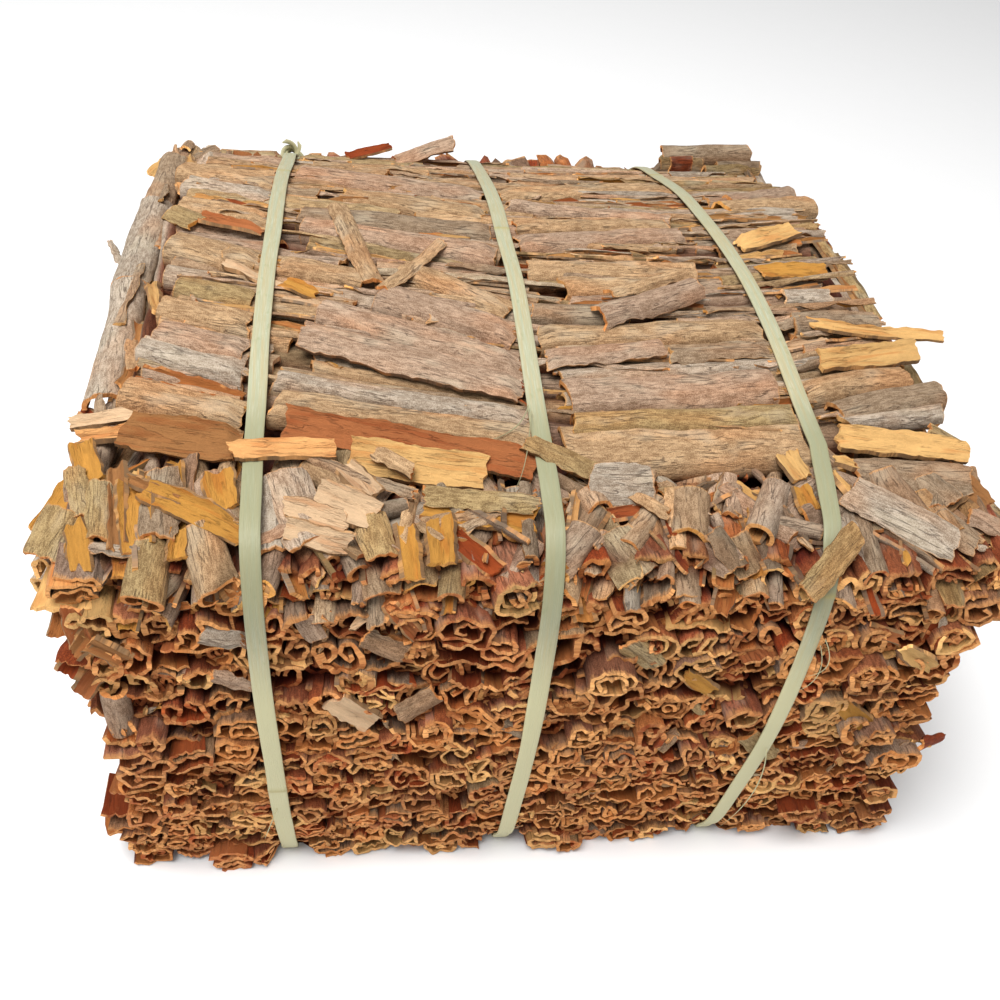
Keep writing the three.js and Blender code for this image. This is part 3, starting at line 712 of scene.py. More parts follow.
# Quills that lie uppermost: both ends in X and Y, width, rise above the rows, shape and outer colour.
UPPER = (
    (-187, -104, -133, -119, 17, 1.5, "arch", "tan"), (-124, -110, -8, -130, 17, 1.5, "arch", "tan"),
    (2, -134, 117, -130, 30, 1.0, "arch", "tan"), (-183, -78, -135, -94, 14, 1.5, "arch", "lilac"),
    (-182, -95, -134, -109, 9, 1.0, "trough", "orange"), (-124, -98, -8, -122, 9, 2.0, "arch", "lilac"),
    (8, -123, 117, -117, 13, 1.5, "arch", "olive"), (133, -116, 194, -101, 15, 1.5, "arch", "grey"),
    (135, -121, 190, -114, 9, 1.0, "arch", "lilac"), (-177, -68, -135, -82, 18, 1.5, "arch", "mauve"),
    (-114, -71, -8, -105, 25, 2.5, "board", "mauve"), (7, -106, 112, -98, 20, 2.0, "arch", "mauve"),
    (121, -102, 181, -92, 13, 1.5, "arch", "tan"), (-178, -50, -133, -62, 15, 1.5, "arch", "tan"),
    (-106, -50, -7, -89, 15, 2.0, "arch", "mauve"), (-2, -86, 61, -76, 16, 2.5, "board", "mauve"),
    (60, -81, 119, -76, 14, 1.5, "board", "grey"), (-172, -34, -134, -43, 12, 1.5, "arch", "olive"),
    (-77, -36, -9, -68, 18, 2.0, "arch", "mauve"),
    (-2, -69, 114, -60, 15, 2.0, "arch", "tan"), (130, -52, 180, -52, 13, 1.5, "arch", "grey"),
    (-179, 8, -132, -12, 20, 1.5, "arch", "tan"), (-152, -4, -81, -28, 13, 2.5, "arch", "tan"),
    (-65, -12, -11, -51, 15, 1.5, "arch", "tan"), (-4, -50, 43, -49, 12, 2.0, "arch", "grey"),
    (-183, 42, -165, 27, 16, 1.5, "board", "olive"),
    (-116, 29, -12, 1, 15, 2.0, "arch", "mauve"), (-1, -12, 93, -11, 16, 1.5, "arch", "tan"),
    (14, -27, 82, -25, 12, 2.0, "arch", "tan"),
    (131, -32, 160, -31, 10, 1.5, "arch", "lilac"), (-180, 56, -128, 38, 14, 1.5, "arch", "tan"),
    (-118, 43, -11, 28, 16, 1.5, "arch", "grey"), (-1, 37, 91, 42, 12, 1.5, "arch", "tan"),
    (-3, 16, 96, 31, 14, 2.0, "arch", "mauve"),
    (-183, 90, -130, 67, 15, 1.5, "arch", "lilac"), (-96, 76, -12, 50, 14, 2.0, "arch", "tan"),
    (-3, 67, 93, 49, 9, 3.0, "arch", "mauve"), (128, 74, 195, 94, 14, 2.0, "arch", "tan"),
    (-189, 123, -129, 90, 16, 1.5, "arch", "tan"), (-122, 122, -10, 84, 17, 2.0, "arch", "mauve"),
    (-6, 85, 113, 115, 16, 2.0, "arch", "tan"), (137, 88, 191, 118, 13, 2.0, "arch", "mauve"),
)
UPPER_IN_FRONT = 23


def cross_section(shape, width, height, seed):
    """A cross quill's section in millimetres: an arch whose top is flattened by a hyperbolic tangent, a shallow
    board, or a trough with its inside up."""
    if shape == "arch":
        section = arch(vary(seed, 54, 3.8, 5.2), 22)
        section[:, 1] = np.tanh(1.7 * section[:, 1]) / math.tanh(1.7)
        return section * [width / 2, height / 2]
    if shape == "trough":
        return turned(arch(3.3, 20), math.pi) * [width / 2, height / 2]
    return arch(1.3, 18) * [width / 2, 1.6]


def cross_rows(sheets, rows):
    """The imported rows: each quill's width is half the way to both neighbouring rows, and it is split along its
    length into two parts whose shares vary."""
    for row, (y, spans) in enumerate(CROSS_ROWS):
        if not rows[0] <= row < rows[1]:
            continue
        before = CROSS_ROWS[row - 1][0] if row else y - 16
        after = CROSS_ROWS[row + 1][0] if row < len(CROSS_ROWS) - 1 else y + 22
        for i, (x0, x1) in enumerate(spans):
            seed = row * 5 + i
            width = (after - before) / 2 * vary(seed, 51, 0.96, 1.08)
            height = vary(seed, 52, 12, 15)
            y0, y1 = y + bow(x0), y + bow(x1) + vary(seed, 55, -2, 2)
            share = vary(seed, 58, 0.36, 0.62)
            for half, (offset, part) in enumerate((((share - 1) / 2, share), (share / 2, 1 - share))):
                sink = 1.0 + vary(seed + half * 50, 53, 0, 3.4)
                z0 = crown(y0) - height / 2 - sink
                z1 = crown(y1) - height / 2 - sink - vary(seed + half * 50, 56, -1, 1)
                trim = (vary(seed + half * 50, 59, 0, 9), vary(seed + half * 50, 60, 0, 9))
                section = cross_section("arch", width * part * 1.06, height, seed + half)
                strip(sheets, (x0 + trim[0], y0 + offset * width, z0), (x1 - trim[1], y1 + offset * width, z1), UP,
                      section, top_look(seed + 700 + half * 37), seed + 100 + half * 53,
                      wall=vary(seed + half, 57, 1.8, 2.6), rag=(1.5 if x0 < -165 else 6, 6), wobble=1.0,
                      stations=34, crack=0.7)


def under_rows(sheets):
    """Plain quills below the rows and between them, that show where the quills above end: flattened arcs, carried
    along lines that bow back like the rows."""
    for row, (y, _) in enumerate(CROSS_ROWS[:-1]):
        middle = (y + CROSS_ROWS[row + 1][0]) / 2
        for i, (x0, x1) in enumerate(((-176, -70), (-72, 42), (40, 172))):
            seed = FIRST_SEED["under rows"] + row * 9 + i * 3
            shift = vary(seed, 50, -14, 14)
            x0, x1 = max(x0 + shift, -178), min(x1 + shift, 174)
            y0, y1 = middle + bow(x0), middle + bow(x1)
            z0, z1 = crown(y0) - 12.5, crown(y1) - 12.5
            section = arch(3.6, 12) * [vary(seed, 51, 9.5, 12.5), 5.5]
            strip(sheets, (x0, y0, z0), (x1, y1, z1), UP, section, shaded_under_look(seed), seed, rag=6,
                  wobble=1.2, stations=20)


def upper_quills(sheets, rows):
    """The uppermost quills of some rows of the table, each along the crown between its two ends."""
    for index in range(*rows):
        x0, y0, x1, y1, width, rise, shape, colour = UPPER[index]
        seed = FIRST_SEED["upper quills"] + index
        height = 3.0 if shape == "board" else min(0.75 * width, 13)
        z0 = crown(y0) - height / 2 + rise
        z1 = crown(y1) - height / 2 + rise
        section = cross_section(shape, width, height, seed)
        flesh = colour in FLESHES
        look = (named(colour, seed, 0.08), named(colour, seed, 0.08)) if flesh else top_look(seed, colour)
        middle = crown((y0 + y1) / 2) - (crown(y0) + crown(y1)) / 2
        strip(sheets, (x0, y0, z0), (x1, y1, z1), UP, section, look, seed, rag=(1.5 if x0 < -165 else 5, 5),
              wobble=1.0, stations=44, sag=float(middle), crack=0.8)


# Strips and chips that would hang over a gap are left out.
OVER_GAPS = {"splinters": (40,), "chips": (9, 50, 128, 132)}


def splinters(sheets, count):
    """Thin torn strips between the rows, of all colours: each an arc carried along the crown for 20 to 130 mm."""
    for i in range(count):
        if i in OVER_GAPS["splinters"]:
            continue
        seed = FIRST_SEED["splinters"] + i * 3
        y = vary(seed, 71, -125, 186)
        x = vary(seed, 72, -180, 150)
        length = vary(seed, 73, 20, 130)
        x1 = min(x + length, 184)
        y0 = min(y + bow(x), 194)
        y1 = min(y + bow(x1), 194) + vary(seed, 74, -5, 5)
        width = vary(seed, 75, 2.0, 6.5)
        height = vary(seed, 76, 0.5, 2.5)
        turn = vary(seed, 77, -0.5, 0.5)
        section = over_by_chance(turned(arch(vary(seed, 78, 1.2, 3.0), 9) * [width / 2, height], turn), seed, 0.4)
        look = top_look(seed)
        z0, z1 = crown(y0) + vary(seed, 80, -3.0, 0.3), crown(y1) + vary(seed, 82, -3.0, 0.3)
        strip(sheets, (x, y0, z0), (x1, y1, z1), UP, section, look, seed, wall=1.3, rag=5, edge=0.3,
              stations=14, wobble=0.7)


# ---- Loose bark ----
# Both ends of each board, its width, bend and tilt towards the front, and the colour of the side that faces up, which
# tells which side that is. Three are rolls.
FLAKES = (
    ((-172, -163, 221), (-128, -190, 215), 13, 2, 0.5, "mustard"),
    ((-92, -141, 219), (-31, -153, 216), 20, 1, 0.5, "sand"),
    ((-62, -171, 215), (-12, -177, 213), 15, 2, 0.4, "mustard"),
    ((-62, -167, 217), (-11, -172, 216), 10, 2, 0.4, "olive"),
    ((10, -158, 217), (40, -160, 217), 20, 3, 0.5, "lilac"),
    ((124, -164, 217), (167, -194, 211), 19, 3, 0.4, "lilac"),
    ((-186, -127, 219), (-134, -136, 219), 20, 1, 0.6, "amber"),
    ((-120, -124, 221), (-9, -148, 218), 18, 1, 0.6, "rust"),
    ((129, -132, 221), (193, -142, 219), 16, 1, 0.4, "sand"),
    ((132, -152, 215), (190, -156, 214), 20, 3, 0.2, "grey"),
    ((-97, 46, 233), (-77, -36, 234), 11, 3, 0.1, "tan"),
    ((-74, -40, 233), (-41, 8, 234), 9, 3, 0.0, "tan"),
    ((28, -62, 235), (88, -32, 236), 15, 5, 0.3, "mauve"),
    ((36, -46, 237), (84, -22, 237), 8, 3, 0.3, "tan"),
    ((137, -58, 232), (210, -66, 230), 9, 1, 0.3, "sand"),
    ((132, -88, 230), (191, -76, 230), 15, 1, 0.4, "sand"),
    ((122, 16, 233), (162, 38, 233), 15, 1, 0.2, "sand"),
    ((124, -12, 234), (166, -8, 232), 14, 1, 0.2, "mustard"),
    ((-152, -14, 233), (-122, -34, 232), 8, 1, 0.2, "cream"),
    ((-222, 56, 201), (-203, 12, 202), 3.5, 2, 0.2, "lilac"),
    ((-211, 146, 196), (-198, 172, 198), 14, 2, 0.2, "sand"),
    ((-193, 170, 195), (-174, 185, 197), 8, 2, 0.2, "grey"),
    ((-190, 160, 204), (-184, 128, 210), 6, 2, 0.1, "sand"),
    ((-189, 108, 213), (-184, 84, 217), 5, 2, 0.1, "torn"),
    ((-184, 62, 220), (-180, 40, 223), 6, 2, 0.2, "mustard"),
    ((-186, -22, 225), (-179, -52, 227), 7, 2, 0.1, "sand"),
    ((-189, -66, 222), (-184, -92, 222), 6, 2, 0.1, "tan"),
    ((-209, -119, 214), (-168, -114, 221), 9, 1, 0.4, "cream"),
    ((-205, -126, 212), (-176, -127, 218), 8, 1, 0.4, "torn"),
    ((191, -18, 205), (202, -46, 203.5), 7, 2, 0.2, "sand"),
    ((-212, -174, 203), (-200, -140, 207), 13, 2, 0.3, "mustard"),
    ((-196, -196, 205), (-190, -160, 214), 8, 2, 0.3, "mustard"),
    ((-178, -150, 217), (-172, -192, 208), 9, 3, 0.3, "sand"),
    ((-160, -146, 218), (-154, -186, 210), 8, 3, 0.3, "mustard"),
    ((-124, -32, 233), (-104, -42, 232), 9, 1, 0.2, "mustard"),
    ((-168, 30, 232), (-132, 19, 232), 9, 2, 0.2, "rust"),
    ((-62, 180, 195), (-20, 184, 208), 13, 1, 0.3, "mauve"),
    ((-93, 186, 194), (-62, 186, 203), 9, 1, 0.3, "russet"),
    ((119, 186, 203), (185, 186, 209), 15, 11, 0.2, "grey"),
    ((-150, -150, 213), (-138, -180, 211), 13, 4, 0.2, "mauve"),
    ((-118, -150, 216), (-104, -190, 211), 21, 4, 0.3, "lilac"),
    ((-104, -166, 219), (-78, -178, 215), 17, 2, 0.5, "cream"),
    ((-116, -182, 216), (-88, -190, 213), 12, 2, 0.7, "cream"),
    ((-94, -150, 220), (-80, -168, 218), 12, 3, 0.3, "cream"),
    ((-99, -212, 141), (-78, -213, 124), 14, 2, 1.4, "cream"),
    ((-71, -213, 130), (-52, -212, 145), 12, 2, 1.4, "grey"),
    ((25, -208, 171), (43, -210, 156), 12, 2, 1.4, "olive"),
    ((133, -213, 130), (156, -214, 106), 11, 2, 1.4, "mustard"),
    ((93, -214, 106), (112, -214, 83), 13, 2, 1.4, "olive"),
    ((-86, -207, 178), (-66, -209, 166), 10, 2, 1.3, "grey"),
    ((-195, -150, 112), (-197, -197, 118), 13, 9, 0.2, "mauve"),
    ((186, -214, 92), (205, -205, 84), 9, 3, 1.2, "umber"),
    ((150, -214, 168), (172, -212, 150), 10, 2, 1.4, "sand"),
    ((-150, -208, 182), (-128, -210, 176), 9, 3, 1.2, "lilac"),
    ((56, -210, 150), (72, -212, 138), 10, 2, 1.4, "mustard"),
    ((-24, -210, 120), (-8, -213, 112), 9, 2, 1.4, "grey"),
    ((-201, -148, 216), (-194, -174, 211), 8, 3, 0.4, "olive"),
    ((-199, -132, 218), (-193, -156, 215), 13, 3, 0.3, "mustard"),
    ((-189, -156, 217), (-186, -186, 211), 11, 4, 0.3, "olive"),
    ((-184, -148, 219), (-177, -191, 212), 9, 3, 0.3, "amber"),
    ((-176, -157, 219), (-169, -192, 212), 15, 5, 0.3, "mustard"),
    ((-196, -176, 215), (-190, -199, 206), 11, 2, 0.6, "mustard"),
    ((-198, -168, 213), (-205, -190, 204), 22, 4, 0.5, "olive"),
    ((-148, -178, 211), (-138, -210, 204), 15, 12, 0.2, "tan", "roll"),
    ((-165, -182, 208), (-168, -208, 199), 15, 11, 0.2, "olive", "roll"),
    ((-165, -150, 217), (-162, -188, 213), 18, 3, 0.4, "grey"),
    ((-144, -150, 218), (-138, -173, 215), 15, 3, 0.3, "mustard"),
    ((-155, -180, 215), (-155, -196, 210), 9, 2, 0.4, "mustard"),
    ((-178, -158, 221), (-155, -172, 219), 6, 2, 0.4, "amber"),
    ((-186, -209, 150), (-187, -209, 118), 9, 8, 0.1, "mauve", "roll"),
    ((-197, -203, 194), (-194, -207, 172), 11, 2, 1.0, "rust"),
    ((-192, -208, 178), (-176, -210, 168), 9, 2, 1.2, "amber"),
    ((-147, -210, 158), (-124, -212, 146), 6, 2, 1.2, "mauve"),
    ((-55, -176, 215), (-54, -199, 209), 14, 3, 0.4, "mustard"),
    ((-68, -179, 215), (-64, -204, 206), 10, 3, 0.4, "mustard"),
    ((-117, -172, 217), (-90, -180, 215), 11, 2, 0.5, "cream"),
    ((-125, -152, 214), (-121, -192, 208), 19, 4, 0.3, "lilac"),
    ((-82, -174, 214), (-77, -196, 208), 14, 4, 0.3, "olive"),
    ((-80, -142, 221), (-63, -156, 219), 8, 2, 0.4, "tan"),
    ((-108, -146, 219), (-61, -167, 217), 6, 2, 0.3, "grey"),
    ((149, -166, 216), (161, -181, 212), 8, 2, 0.4, "mustard"),
    ((182, -152, 214), (192, -170, 210), 14, 2, 0.4, "amber"),
    ((163, -154, 216), (174, -171, 213), 15, 3, 0.4, "grey"),
    ((178, -174, 212), (194, -182, 208), 10, 2, 0.4, "mauve"),
    ((162, -173, 213), (178, -193, 208), 14, 3, 0.4, "grey"),
    ((124, -144, 219), (136, -150, 218), 7, 2, 0.4, "sand"),
    ((122, -151, 217), (129, -170, 215), 5, 2, 0.4, "sand"),
    ((102, -141, 219), (107, -159, 217), 13, 2, 0.5, "sand"),
    ((104, -161, 217), (106, -176, 213), 11, 2, 0.5, "mustard"),
    ((178, -124, 218), (191, -136, 215), 8, 2, 0.4, "olive"),
    ((164, -207, 164), (167, -204, 190), 8, 2, 1.2, "russet"),
    ((132, -208, 176), (150, -210, 170), 7, 2, 1.2, "rust"),
    ((-109, -205, 190), (-102, -208, 176), 9, 3, 1.2, "mauve"),
    ((-76, -204, 193), (-62, -208, 176), 8, 3, 1.2, "rust"),
    ((-199, 166, 199), (-201, 94, 203), 16, 9, 0.0, "grey"),
    ((-202, 100, 202), (-203, 2, 206), 17, 10, 0.0, "lilac"),
    ((-202, 6, 206), (-199, -98, 207), 15, 10, 0.0, "lilac"),
    ((-197, -196, 190), (-203, -207, 178), 12, 4, 0.9, "orange"),
    ((-192, -200, 178), (-201, -210, 166), 13, 4, 1.0, "umber"),
    ((-196, -200, 170), (-204, -211, 160), 10, 4, 1.0, "russet"),
    ((-188, -203, 184), (-198, -210, 172), 9, 3, 1.0, "amber"),
    ((-190, -206, 158), (-199, -212, 148), 10, 3, 1.1, "rust"),
    ((-210, -92, 202), (-203, -100, 204), 6, 2, 0.4, "russet"),
    ((201, 118, 199), (202, -14, 204), 7, 3, 0.0, "olive"),
    ((197, 96, 202), (198, -60, 206), 4, 2, 0.0, "amber"),
)
OVER_BANDS = (
    ((-141, -143, 221.5), (-94, -142, 222), 13, 0.5, 0.2, "torn"),
    ((-16, -139, 223), (19, -155, 216), 10, 0.5, 0.3, "olive"),
    ((19, -155, 216), (44, -176, 212), 8, 0.5, 0.3, "tan"),
    ((96, -209, 198.5), (120, -191, 219.5), 13, 1.5, 0.8, "olive"),
)


def leaning(start, stop, tilt):
    """A direction across the board that leans towards the front by an angle from straight up."""
    along = np.array(stop, float) - np.array(start, float)
    along /= np.linalg.norm(along)
    up = np.array([0, -math.sin(tilt), math.cos(tilt)])
    up -= along * (up @ along)
    return up / np.linalg.norm(up)


def board(sheets, row, seed):
    """One loose board: a shallow arc, hollow on the inner side of the bark, or a double roll."""
    start, stop, width, bend, tilt, colour, *rolled = row
    section = arch(4.6 if bend >= 9 else 1.6, 15) * [width / 2, max(bend, 1) / 2]
    if rolled:
        section = (curl(6.0, 6.6, 1.6, 40, 0.1) * [1, -1])[::-1] * [width / 2, bend / 2]
    if colour in FLESHES or colour == "rust":
        section = turned(section, math.pi)
        look = (named("tan", seed, 0.1), named(colour, seed + 1, 0.08))
    else:
        look = (named(colour, seed, 0.1), named("orange", seed + 1, 0.1))
    short = math.dist(start, stop) < 46
    strip(sheets, start, stop, leaning(start, stop, tilt), section, look, seed, wall=vary(seed, 57, 1.6, 2.6),
          rag=3.6 if short else 4.5, edge=0.06, wobble=0.9, stations=22 if short else 34, crack=0.5,
          pinch=vary(seed, 60, 0, 0.3), twist=vary(seed, 65, -0.25, 0.25))


def boards(sheets, rows, first_seed):
    """All the boards of one table."""
    for index, row in enumerate(rows):
        board(sheets, row, first_seed + index * 7)


# For each layer of the shoulder: share of the pieces, Y of the tips, height of tips and roots against the shoulder,
# length, and how far a piece may turn aside.
LAYERS = (
    (0.16, (-166, -146), (-5, 0), (-3, 2), (22, 36), 0.60),
    (0.12, (-212, -202), (-26, -14), (-8, -2), (28, 44), 0.40),
    (0.22, (-207, -192), (-16, -6), (-5, -1), (28, 48), 0.40),
    (0.25, (-203, -178), (-9, -1), (-4, 2), (18, 42), 0.75),
    (0.25, (-192, -156), (-4, 3), (-1, 4), (12, 38), 1.35),
)


def short_quills(sheets, count):
    """Short broken quills on the shoulder, in the layers of the table, fanned out towards both corners: rolls,
    half rolls, troughs and flat strips, each from a root near the cross layer to a tip over the front face."""
    done = 0
    for layer, (part, tips, tip_rise, root_rise, lengths, swing) in enumerate(LAYERS):
        here = round(count * part)
        for i in range(here):
            seed = FIRST_SEED["short quills"] + (done + i) * 3
            x = -203 + 400 * (i + chance(seed, 71)) / here
            length = vary(seed, 73, *lengths)
            front_y = vary(seed, 72, *tips) + 6 * max(0, abs(x) - 160) / 40
            heading = vary(seed, 74, -swing, swing) + 0.5 * np.sign(x) * max(0, abs(x) - 130) / 70
            y0 = front_y + length * math.cos(heading)
            x1 = x + length * math.sin(heading) * (1 if abs(x) < 190 else 0.4)
            droop = 0.6 * max(0, abs(x) - 184)
            root = (x - (x1 - x) * 0.6, y0, shoulder(y0) + vary(seed, 75, *root_rise) - droop)
            tip = (x + (x1 - x) * 0.4, front_y, shoulder(front_y) + vary(seed, 76, *tip_rise) - droop)
            width = (5 + 12.5 * chance(seed, 77) ** 1.4) * (0.65 if abs(x) > 176 else 1)
            kind = chance(seed, 78) - (0.25 if x < -120 and layer > 1 else 0)
            if kind > 0.86:
                section = curl(1.2, vary(seed, 79, 7, 10), 0.2, 24, 0.07) * [width / 2, min(width, 12) / 2]
            elif kind > 0.74:
                section = arch(vary(seed, 79, 3.0, 5.2), 13) * [width / 2, min(width, 12) / 2]
            elif kind > 0.36:
                section = turned(arch(vary(seed, 79, 1.4, 3.6), 11), math.pi) * [width / 2.4, width / 6]
            else:
                section = arch(vary(seed, 79, 1.0, 2.0), 9) * [width / 1.8, vary(seed, 80, 0.8, 2.2)]
            section = turned(section, vary(seed, 69, -0.8, 0.8))
            strip(sheets, root, tip, UP, section, short_look(seed, x), seed, wall=vary(seed, 57, 1.4, 2.2),
                  rag=(3, 3.6), edge=0.07, wobble=0.7, stations=11, twist=vary(seed, 65, -0.5, 0.5),
                  pinch=0.5 * chance(seed, 60) ** 3)
        done += here


def short_look(seed, x):
    """Outer and inner colour of a short quill: lighter or darker than on top, more yellow inside near the left
    corner, and browner outside near the right one."""
    outer, inner = top_look(seed)
    names, weights = (("orange", "russet", "rust", "mustard", "sand"), (3, 1.6, 1.6, 1.4, 1))
    if x < -120:
        names, weights = (("mustard", "amber", "sand", "orange"), (3, 2, 1, 1))
    inner = mixed(names, weights, seed + 5, 0.15)
    brown = np.array([0.86, 0.76, 0.64]) if x > 150 else 1
    return outer * brown * vary(seed, 68, 0.6, 1.1), inner * vary(seed, 69, 0.8, 1.25)


# Quills that lie along both margins of the top and in its corners: both ends, width and height.
MARGIN = (
    ((-190, 192, 188), (-193, 74, 194), 27, 16), ((-193, 70, 194), (-194, -34, 197), 27, 17),
    ((-192, -38, 198), (-189, -112, 201), 25, 15), ((197, 140, 193), (198, 10, 196), 26, 15),
    ((197, 4, 196), (193, -96, 198), 25, 14), ((-184, -108, 194), (-209, -184, 190), 18, 14),
    ((-182, -104, 178), (-214, -172, 174), 17, 12), ((180, -108, 196), (206, -172, 192), 20, 13),
    ((178, -104, 178), (209, -170, 176), 17, 12), ((118, 178, 199), (186, 180, 200), 14, 16),
    ((-178, -104, 206), (-180, 84, 206), 22, 17), ((175, -100, 205), (174, 84, 204), 22, 17),
)


def margin_look(seed, x):
    """The left margin is pale and grey, the right one is dull brown."""
    if x < 0:
        return named(("tan", "grey", "lilac")[seed % 3], seed, 0.12) * 1.1, named("sand", seed, 0.1)
    return named(("olive", "grey", "umber")[seed % 3], seed, 0.2) * 0.66, named("amber", seed, 0.2)


def margins(sheets):
    """The long quills of both margins, each of three that are broken in two, and torn strips on and beside them."""
    for index, (start, stop, width, height) in enumerate(MARGIN):
        start, stop = np.array(start, float), np.array(stop, float)
        for part in range(6):
            seed = FIRST_SEED["margins"] + index * 3 + 40 * part
            break_at = vary(index * 3 + part // 2, 67, 0.3, 0.7)
            low, high = ((0, break_at - 0.02), (break_at + 0.02, 1))[part % 2]
            aside = (part // 2 - 1) * width * 0.3
            shift = np.array([aside + vary(seed, 68, -2, 2), vary(seed, 66, -5, 5), vary(seed, 69, -4, 2)])
            tilt = np.array([vary(seed, 70, -3, 3), 0, 0])
            section = arch(vary(seed, 78, 4.8, 6.0), 18) * [width * 0.2, height / 2.4]
            strip(sheets, start + (stop - start) * low + shift, start + (stop - start) * high + shift + tilt, UP,
                  section, margin_look(seed, start[0]), seed, rag=5, wobble=1.3, stations=20, crack=0.6)
    for i in range(70):
        seed = FIRST_SEED["margin strips"] + i * 3
        side = -1 if i % 2 else 1
        y = -120 + 300 * chance(seed, 71)
        length = vary(seed, 73, 18, 70)
        edge = float(left(196.0)) if side < 0 else float(right(196.0))
        x = edge - side * vary(seed, 72, 0, 20)
        z = vary(seed, 74, 192, 207) - (5 if y > 60 else 0) + (7 if side < 0 and y < 90 else 0)
        section = over_by_chance(arch(vary(seed, 78, 1.4, 3.8), 11) * [vary(seed, 75, 1.6, 6.0), 1.8], seed, 0.45)
        lean = np.array([side * vary(seed, 77, -0.3, 1.3), 0, 1.0])
        look = top_look(seed) if i % 3 == 0 else margin_look(seed, x)
        strip(sheets, (x, min(y + length, 190), z - 3), (x + side * vary(seed, 76, -6, 3), y, z), lean, section,
              look, seed, wall=1.5, rag=5, edge=0.2, stations=14, wobble=0.8)


def side_quills(sheets, side):
    """Quills that lie from front to back on one side, each row in two to four lengths that overlap, and most of
    them hollow towards the bale."""
    edge = left if side < 0 else right
    for level in range(15):
        z = 11.5 + 12.5 * level
        count = 2 + int(3 * chance(level, side + 42))
        shares = vary(level * 5 + np.arange(count), side + 46, 0.5, 1.5)
        joints = np.concatenate([[0], np.cumsum(shares) / shares.sum()])
        low, high = front(z) + 8, back(z) - 8
        for part in range(count):
            seed = FIRST_SEED["side quills"] + level * 12 + part * 3 + (side + 1) * 300
            y0, y1 = (low + (high - low) * joints[part + k] for k in range(2))
            y0, y1 = y0 - (5 if part else 0), y1 + (5 if part < count - 1 else 0)
            x = float(edge(z)) - side * (vary(seed, 43, 4.5, 8) - 2.5 * (part % 2))
            section = arch(vary(seed, 79, 2.6, 4.6), 13) * [vary(seed, 77, 7.2, 9.8), vary(seed, 47, 4, 6)]
            if chance(seed, 48) < 0.16:
                section = turned(section * [1, 0.5], math.pi)
            strip(sheets, (x, y0, z), (x, y1, z + vary(seed, 45, -3, 3)), (side, 0, 0), section, side_look(seed),
                  seed, rag=7, wobble=1.3, stations=24, crack=0.6)


def side_strips(sheets, side, count):
    """Torn strips that lie on the quills of one side: each an arc carried from front to back."""
    edge = left if side < 0 else right
    for i in range(count):
        seed = FIRST_SEED["side strips"] + i * 3 + (side + 1) * 500
        z = vary(seed, 72, 12, 190)
        y = vary(seed, 71, -178, 150)
        length = vary(seed, 73, 18, 100)
        x = float(edge(z)) - side * vary(seed, 70, 0.5, 2.5)
        section = arch(vary(seed, 78, 1.4, 3.2), 9) * [vary(seed, 75, 1.5, 6.5), vary(seed, 77, 0.8, 2)]
        section = over_by_chance(section, seed, 0.4)
        stop = (x, min(y + length, 184), z + vary(seed, 76, -5, 5))
        strip(sheets, (x, y, z), stop, (side, 0, vary(seed, 74, -0.4, 0.4)), section, top_look(seed), seed, wall=1.4,
              rag=5, edge=0.2, stations=14, wobble=0.8)


def side_look(seed):
    """Outer and inner colour of a piece on a side: as on top, with a darker skin."""
    outer, inner = top_look(seed)
    return outer * 0.85, inner


def foot_quills(sheets):
    """Quills pressed flat under the bale, in eight rows: each a flattened arc carried along X."""
    for row in range(8):
        y = 166 * (2 * row / 7 - 1)
        joint = vary(row, 61, -50, 20)
        for part, (x0, x1) in enumerate(((-178, joint - 4), (joint + 4, 174))):
            seed = FIRST_SEED["foot quills"] + row * 6 + part * 3
            height = vary(seed, 62, 14, 17)
            section = arch(5.4, 24) * [vary(seed, 63, 12, 14.5), height / 2]
            z = height / 2 + 1.3
            strip(sheets, (x0, y, z), (x1, y, z), UP, section, side_look(seed), seed, rag=6, wobble=0.5, stations=22)


def chips(sheets, count):
    """Chips of bark, a third each on the top, on the shoulder and in the front face: each a shallow arc carried a few
    millimetres along the bale's form in any direction."""
    for i in range(count):
        if i in OVER_GAPS["chips"]:
            continue
        seed = FIRST_SEED["chips"] + i * 3
        size = vary(seed, 73, 4, 13)
        heading = vary(seed, 74, -math.pi, math.pi)
        if i % 3 == 0:
            x = vary(seed, 71, -166, 166)
            y = vary(seed, 72, -124, 172)
            y = min(y + bow(x), 194)
            start = np.array([x, y, crown(y) - 1.3])
            lean = np.array([vary(seed, 79, -0.4, 0.4), vary(seed, 60, -0.5, 0.3), 1.0])
            heading *= 0.35
            ahead = np.array([math.cos(heading), math.sin(heading), 0])
        elif i % 3 == 1:
            y = vary(seed, 72, -198, -142)
            start = np.array([vary(seed, 71, -186, 186), y, shoulder(y) + vary(seed, 70, -2.0, 2.0)])
            lean = np.array([vary(seed, 79, -0.7, 0.7), vary(seed, 60, -1.0, 0.3), 1.0])
            ahead = np.array([math.cos(heading), math.sin(heading), 0])
        else:
            z = vary(seed, 72, 12, 196)
            start = np.array([vary(seed, 71, -182, 178), flared_front(z) - vary(seed, 70, -4.5, 0.0), z])
            lean = np.array([vary(seed, 79, -0.5, 0.5), -1.0, vary(seed, 60, 0, 1.2)])
            ahead = np.array([math.cos(heading), 0.15, math.sin(heading)])
            size *= 1.2
        section = arch(2.2, 6) * [size * vary(seed, 76, 0.12, 0.36), vary(seed, 77, 0.3, 1.2)]
        section = over_by_chance(section, seed, 0.5, 78)
        strip(sheets, start, start + size * ahead, lean, section, top_look(seed), seed, wall=1.0, rag=2.2, edge=0.3,
              stations=6, wobble=0.5, pinch=vary(seed, 66, 0.2, 0.9))


